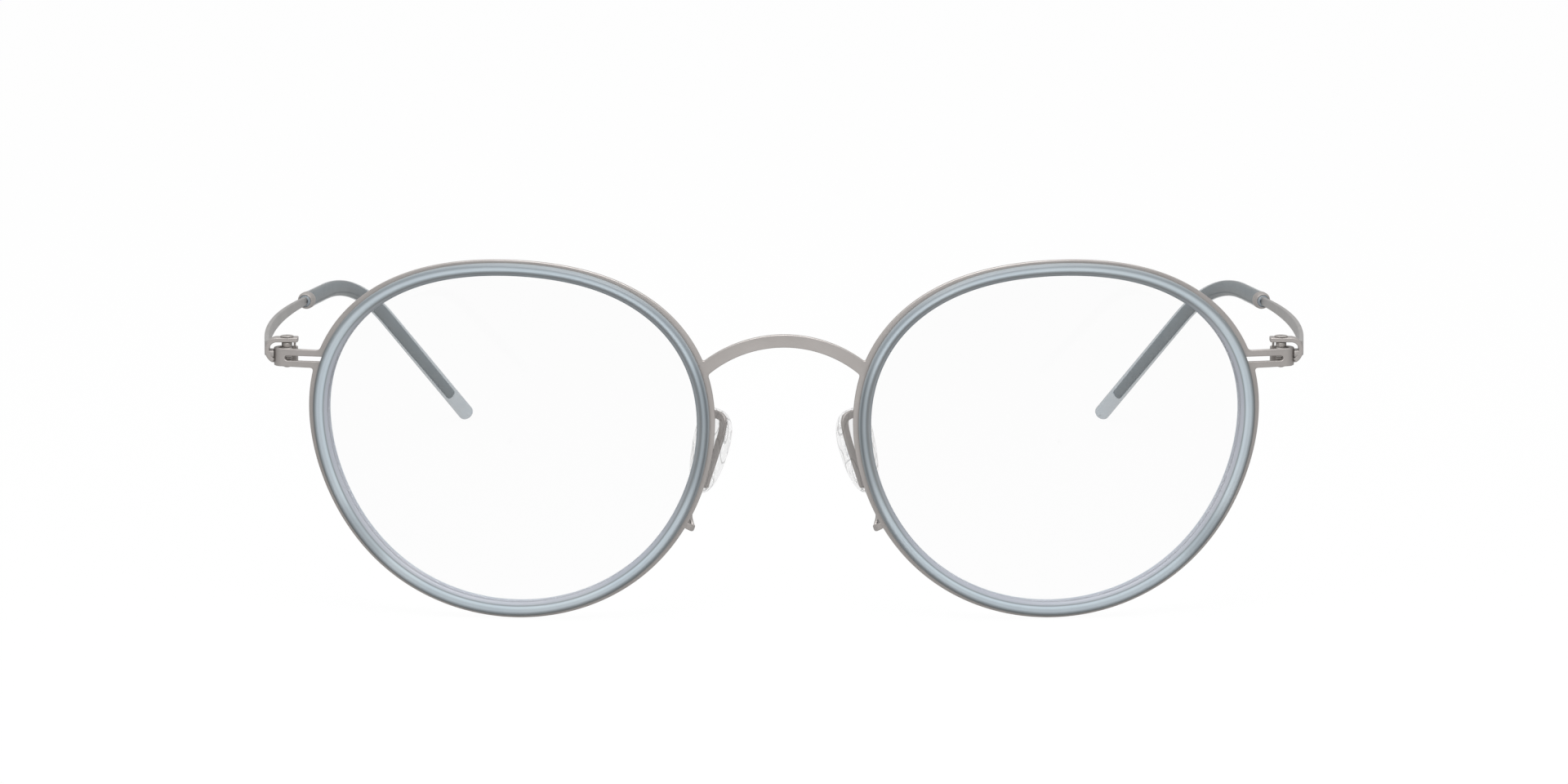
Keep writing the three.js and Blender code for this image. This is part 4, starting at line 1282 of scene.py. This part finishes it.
# %% Opening stops
stop_width = 0.3
stop_shift = 0.94
stop_front = hinge_place[1] + tab_half_width + 0.1
stop_back = hinge_place[1] + curl_outside
stop_top = end_top + 0.95
stop_middle = (hinge_place[0] - stop_shift, (stop_front + stop_back) / 2)
stop_section = rounded_section(stop_width, stop_back - stop_front, small_corner, 3)
stop_levels = [(1, end_top - 0.3), (1, stop_top - 0.05), (0.8, stop_top)]
make_pair("opening_stop", lofted(stacked(stop_middle, stop_section, stop_levels)),
          tumbled_titanium, "front", "satin_metal", "front_frame")

# %% [markdown]
# ## Temples
#
# The temple is a flat strip, 0.6 mm thick. It bows out around the head, narrows towards the ear
# and goes on as a core inside the sleeve, where it bends down behind the ear. Its line is drawn
# from a curve, a straight, a bend and a straight, and the strip's section is carried along it.

# %% Line of a temple
strip_height = 2.35
strip_end_height = 1.15
strip_corner = 0.13
arm_bow = 3.75
bow_share = 0.55
arm_reach = 73.0
arm_drop = 6.4
arm_spread = 0.6
ear_corner = 39.8
ear_lead = 24.4
ear_trail = 10.1
tip_half_spacing = 48.5
tip_back = 137.3
tip_round = 0.75
sleeve_radius = 1.175


def bowed(a, b, c, steps=600):
    """A curve from a to c that leans towards b."""
    t = np.linspace(0, 1, steps)[:, None]
    return (1 - t) ** 2 * a + 2 * t * (1 - t) * b + t ** 2 * c


temple_start = np.array([hinge_place[0] + fork_wall - sheet / 2, hinge_place[1], fork_middle])
arm_stop = temple_start + (arm_spread, arm_reach, -arm_drop)
bow = temple_start + bow_share * (arm_stop - temple_start) + (arm_bow, 0, 0)
forward = unit(arm_stop - bow)
corner = arm_stop + forward * ear_corner
# The tip is set so high that its rounded end just touches the floor.
tip = np.array([tip_half_spacing, tip_back, 0.0])
slope = unit(tip - corner)
tip[2] = tip_round * (1 + slope[2]) + (sleeve_radius - tip_round) * math.hypot(*slope[:2])
fall = unit(tip - corner)
bend_from, bend_to = corner - forward * ear_lead, corner + fall * ear_trail
temple_line = np.vstack([bowed(temple_start, bow, arm_stop),
                         straight(arm_stop, bend_from, 0.2)[1:],
                         bowed(bend_from, corner, bend_to)[1:],
                         straight(bend_to, tip, 0.2)[1:]])
temple_length = gone_along(temple_line)[-1]
print("temple length, mm:", temple_length.round(1))

# %% Strips
core_start = arm_reach + 0.6
strip_slimmest = 0.93
fork_cut = 1.15
straight_out = np.array([1.0, 0, 0])
strip_distances = np.linspace(tab_half_width / 2, core_start, 120)
heights = np.interp(strip_distances, [0, arm_reach], [strip_height, strip_end_height])
# Where it leaves the fork it is a little thinner, and its lower edge is cut up, so that it stays
# inside the fork's round.
slimness = strip_slimmest + (1 - strip_slimmest) * smoothstep(strip_distances, 0.8, 2.0)
cut = fork_cut * (1 - smoothstep(strip_distances, 0.4, 5.0))
strip_sections = [rounded_section(sheet * slim, height, strip_corner)
                  for height, slim in zip(heights - cut, slimness)]
strip_rings = np.array(swept(strip_sections, temple_line, strip_distances, straight_out))
strip_rings += np.outer(cut / 2, (0, 0, 1))[:, None]
make_pair("temple_strip", lofted(strip_rings), temple_titanium, "temple", "satin_metal", "temple")

# %% [markdown]
# Inside the sleeve the strip is left as rolled and dull. It is drawn as wide as it would look
# through the rod. It turns as it goes down behind the ear, and ends round, a few millimetres before
# the sleeve does.

# %% Cores
core_full_height = 2.2
core_late_height = 2.0
core_end_height = 1.5
core_corner = 0.2
core_round_end = 0.5
core_turn_starts, core_turn_ends = 20, 12
tip_solid = 4.8
core_end = temple_length - tip_solid
core_distances, left_of_end = to_rounded_end(core_start, core_end, core_round_end, 160)
# The core's height at distances behind its start.
core_heights = [(0, strip_end_height), (3, core_full_height), (30, core_full_height),
                (40, core_late_height), (core_end - core_start, core_end_height)]
heights = np.interp(core_distances - core_start, *zip(*core_heights))
core_sections = [rounded_section(sheet, height, core_corner) * (max(left, 0.4), left)
                 for height, left in zip(heights, left_of_end)]
turned = smoothstep(core_distances, core_start + core_turn_starts,
                    core_end - core_turn_ends)[:, None]
core_sides = (1 - turned) * straight_out + turned * [0.6, 0.8, 0]
make_pair("sleeve_core", lofted(swept(core_sections, temple_line, core_distances, core_sides)),
          rolled_titanium, "temple", "satin_metal", "temple")

# %% [markdown]
# ## Ferrules and sleeves
#
# A short turned collar closes the front of each sleeve, with a plug of acetate around the strip in
# its mouth. The sleeve is a solid rod with a rounded end. It has no hole for the core, because the
# acetate wets the core and no air is left between them.


# %% Ferrules
def turned_on_temple(section):
    """A turned part on the temple's line, from (radius, distance) pairs."""
    radii, distances = np.array(section).T
    return swept([circle * radius for radius in radii], temple_line, distances, straight_out)


ferrule_length = 2.2
ferrule_radius = 1.225
mouth_radius = 1.0
ferrule_bore = 0.86
ferrule_end = arm_reach + ferrule_length
ferrule_middle = arm_reach + ferrule_length / 2
ferrule_section = [
    (ferrule_bore, arm_reach + 0.02), (mouth_radius - 0.11, arm_reach),
    (mouth_radius - 0.03, arm_reach), (mouth_radius, arm_reach + 0.04),
    (ferrule_radius - 0.03, ferrule_middle - 0.1), (ferrule_radius, ferrule_middle + 0.08),
    (ferrule_radius, ferrule_end - 0.06), (ferrule_radius - 0.06, ferrule_end),
    (ferrule_bore, ferrule_end),
]
make_pair("ferrule_collar", lofted(turned_on_temple(ferrule_section), closed=True),
          tumbled_titanium, "temple", "satin_metal", "ferrule")

# %% Plugs and sleeves
plug_radius = ferrule_bore - 0.02
plug_start = arm_reach + 0.06
plug_tone = "#A9B2B9"
sleeve_start = ferrule_end + 0.1
tip_start = temple_length - tip_round

plug_section = [(tiny_radius, plug_start), (plug_radius - 0.05, plug_start),
                (plug_radius, plug_start + 0.05), (plug_radius, ferrule_end),
                (tiny_radius, ferrule_end)]
make_pair("sleeve_plug", lofted(turned_on_temple(plug_section)), tumbled_acetate, "temple",
          "acetate", "temple_sleeve", [linear(plug_tone)] * len(circle) * len(plug_section))
sleeve_section = [(tiny_radius, sleeve_start), (sleeve_radius - 0.05, sleeve_start),
                  *[(sleeve_radius, distance)
                    for distance in np.linspace(sleeve_start + 0.05, tip_start, 150)],
                  *arc(sleeve_radius - tip_round, tip_start, tip_round, 0, 90, 9)[1:],
                  (tiny_radius, temple_length)]
make_pair("clear_sleeve", lofted(turned_on_temple(sleeve_section)), polished_acetate, "temple",
          "sleeve_acetate", "temple_sleeve")
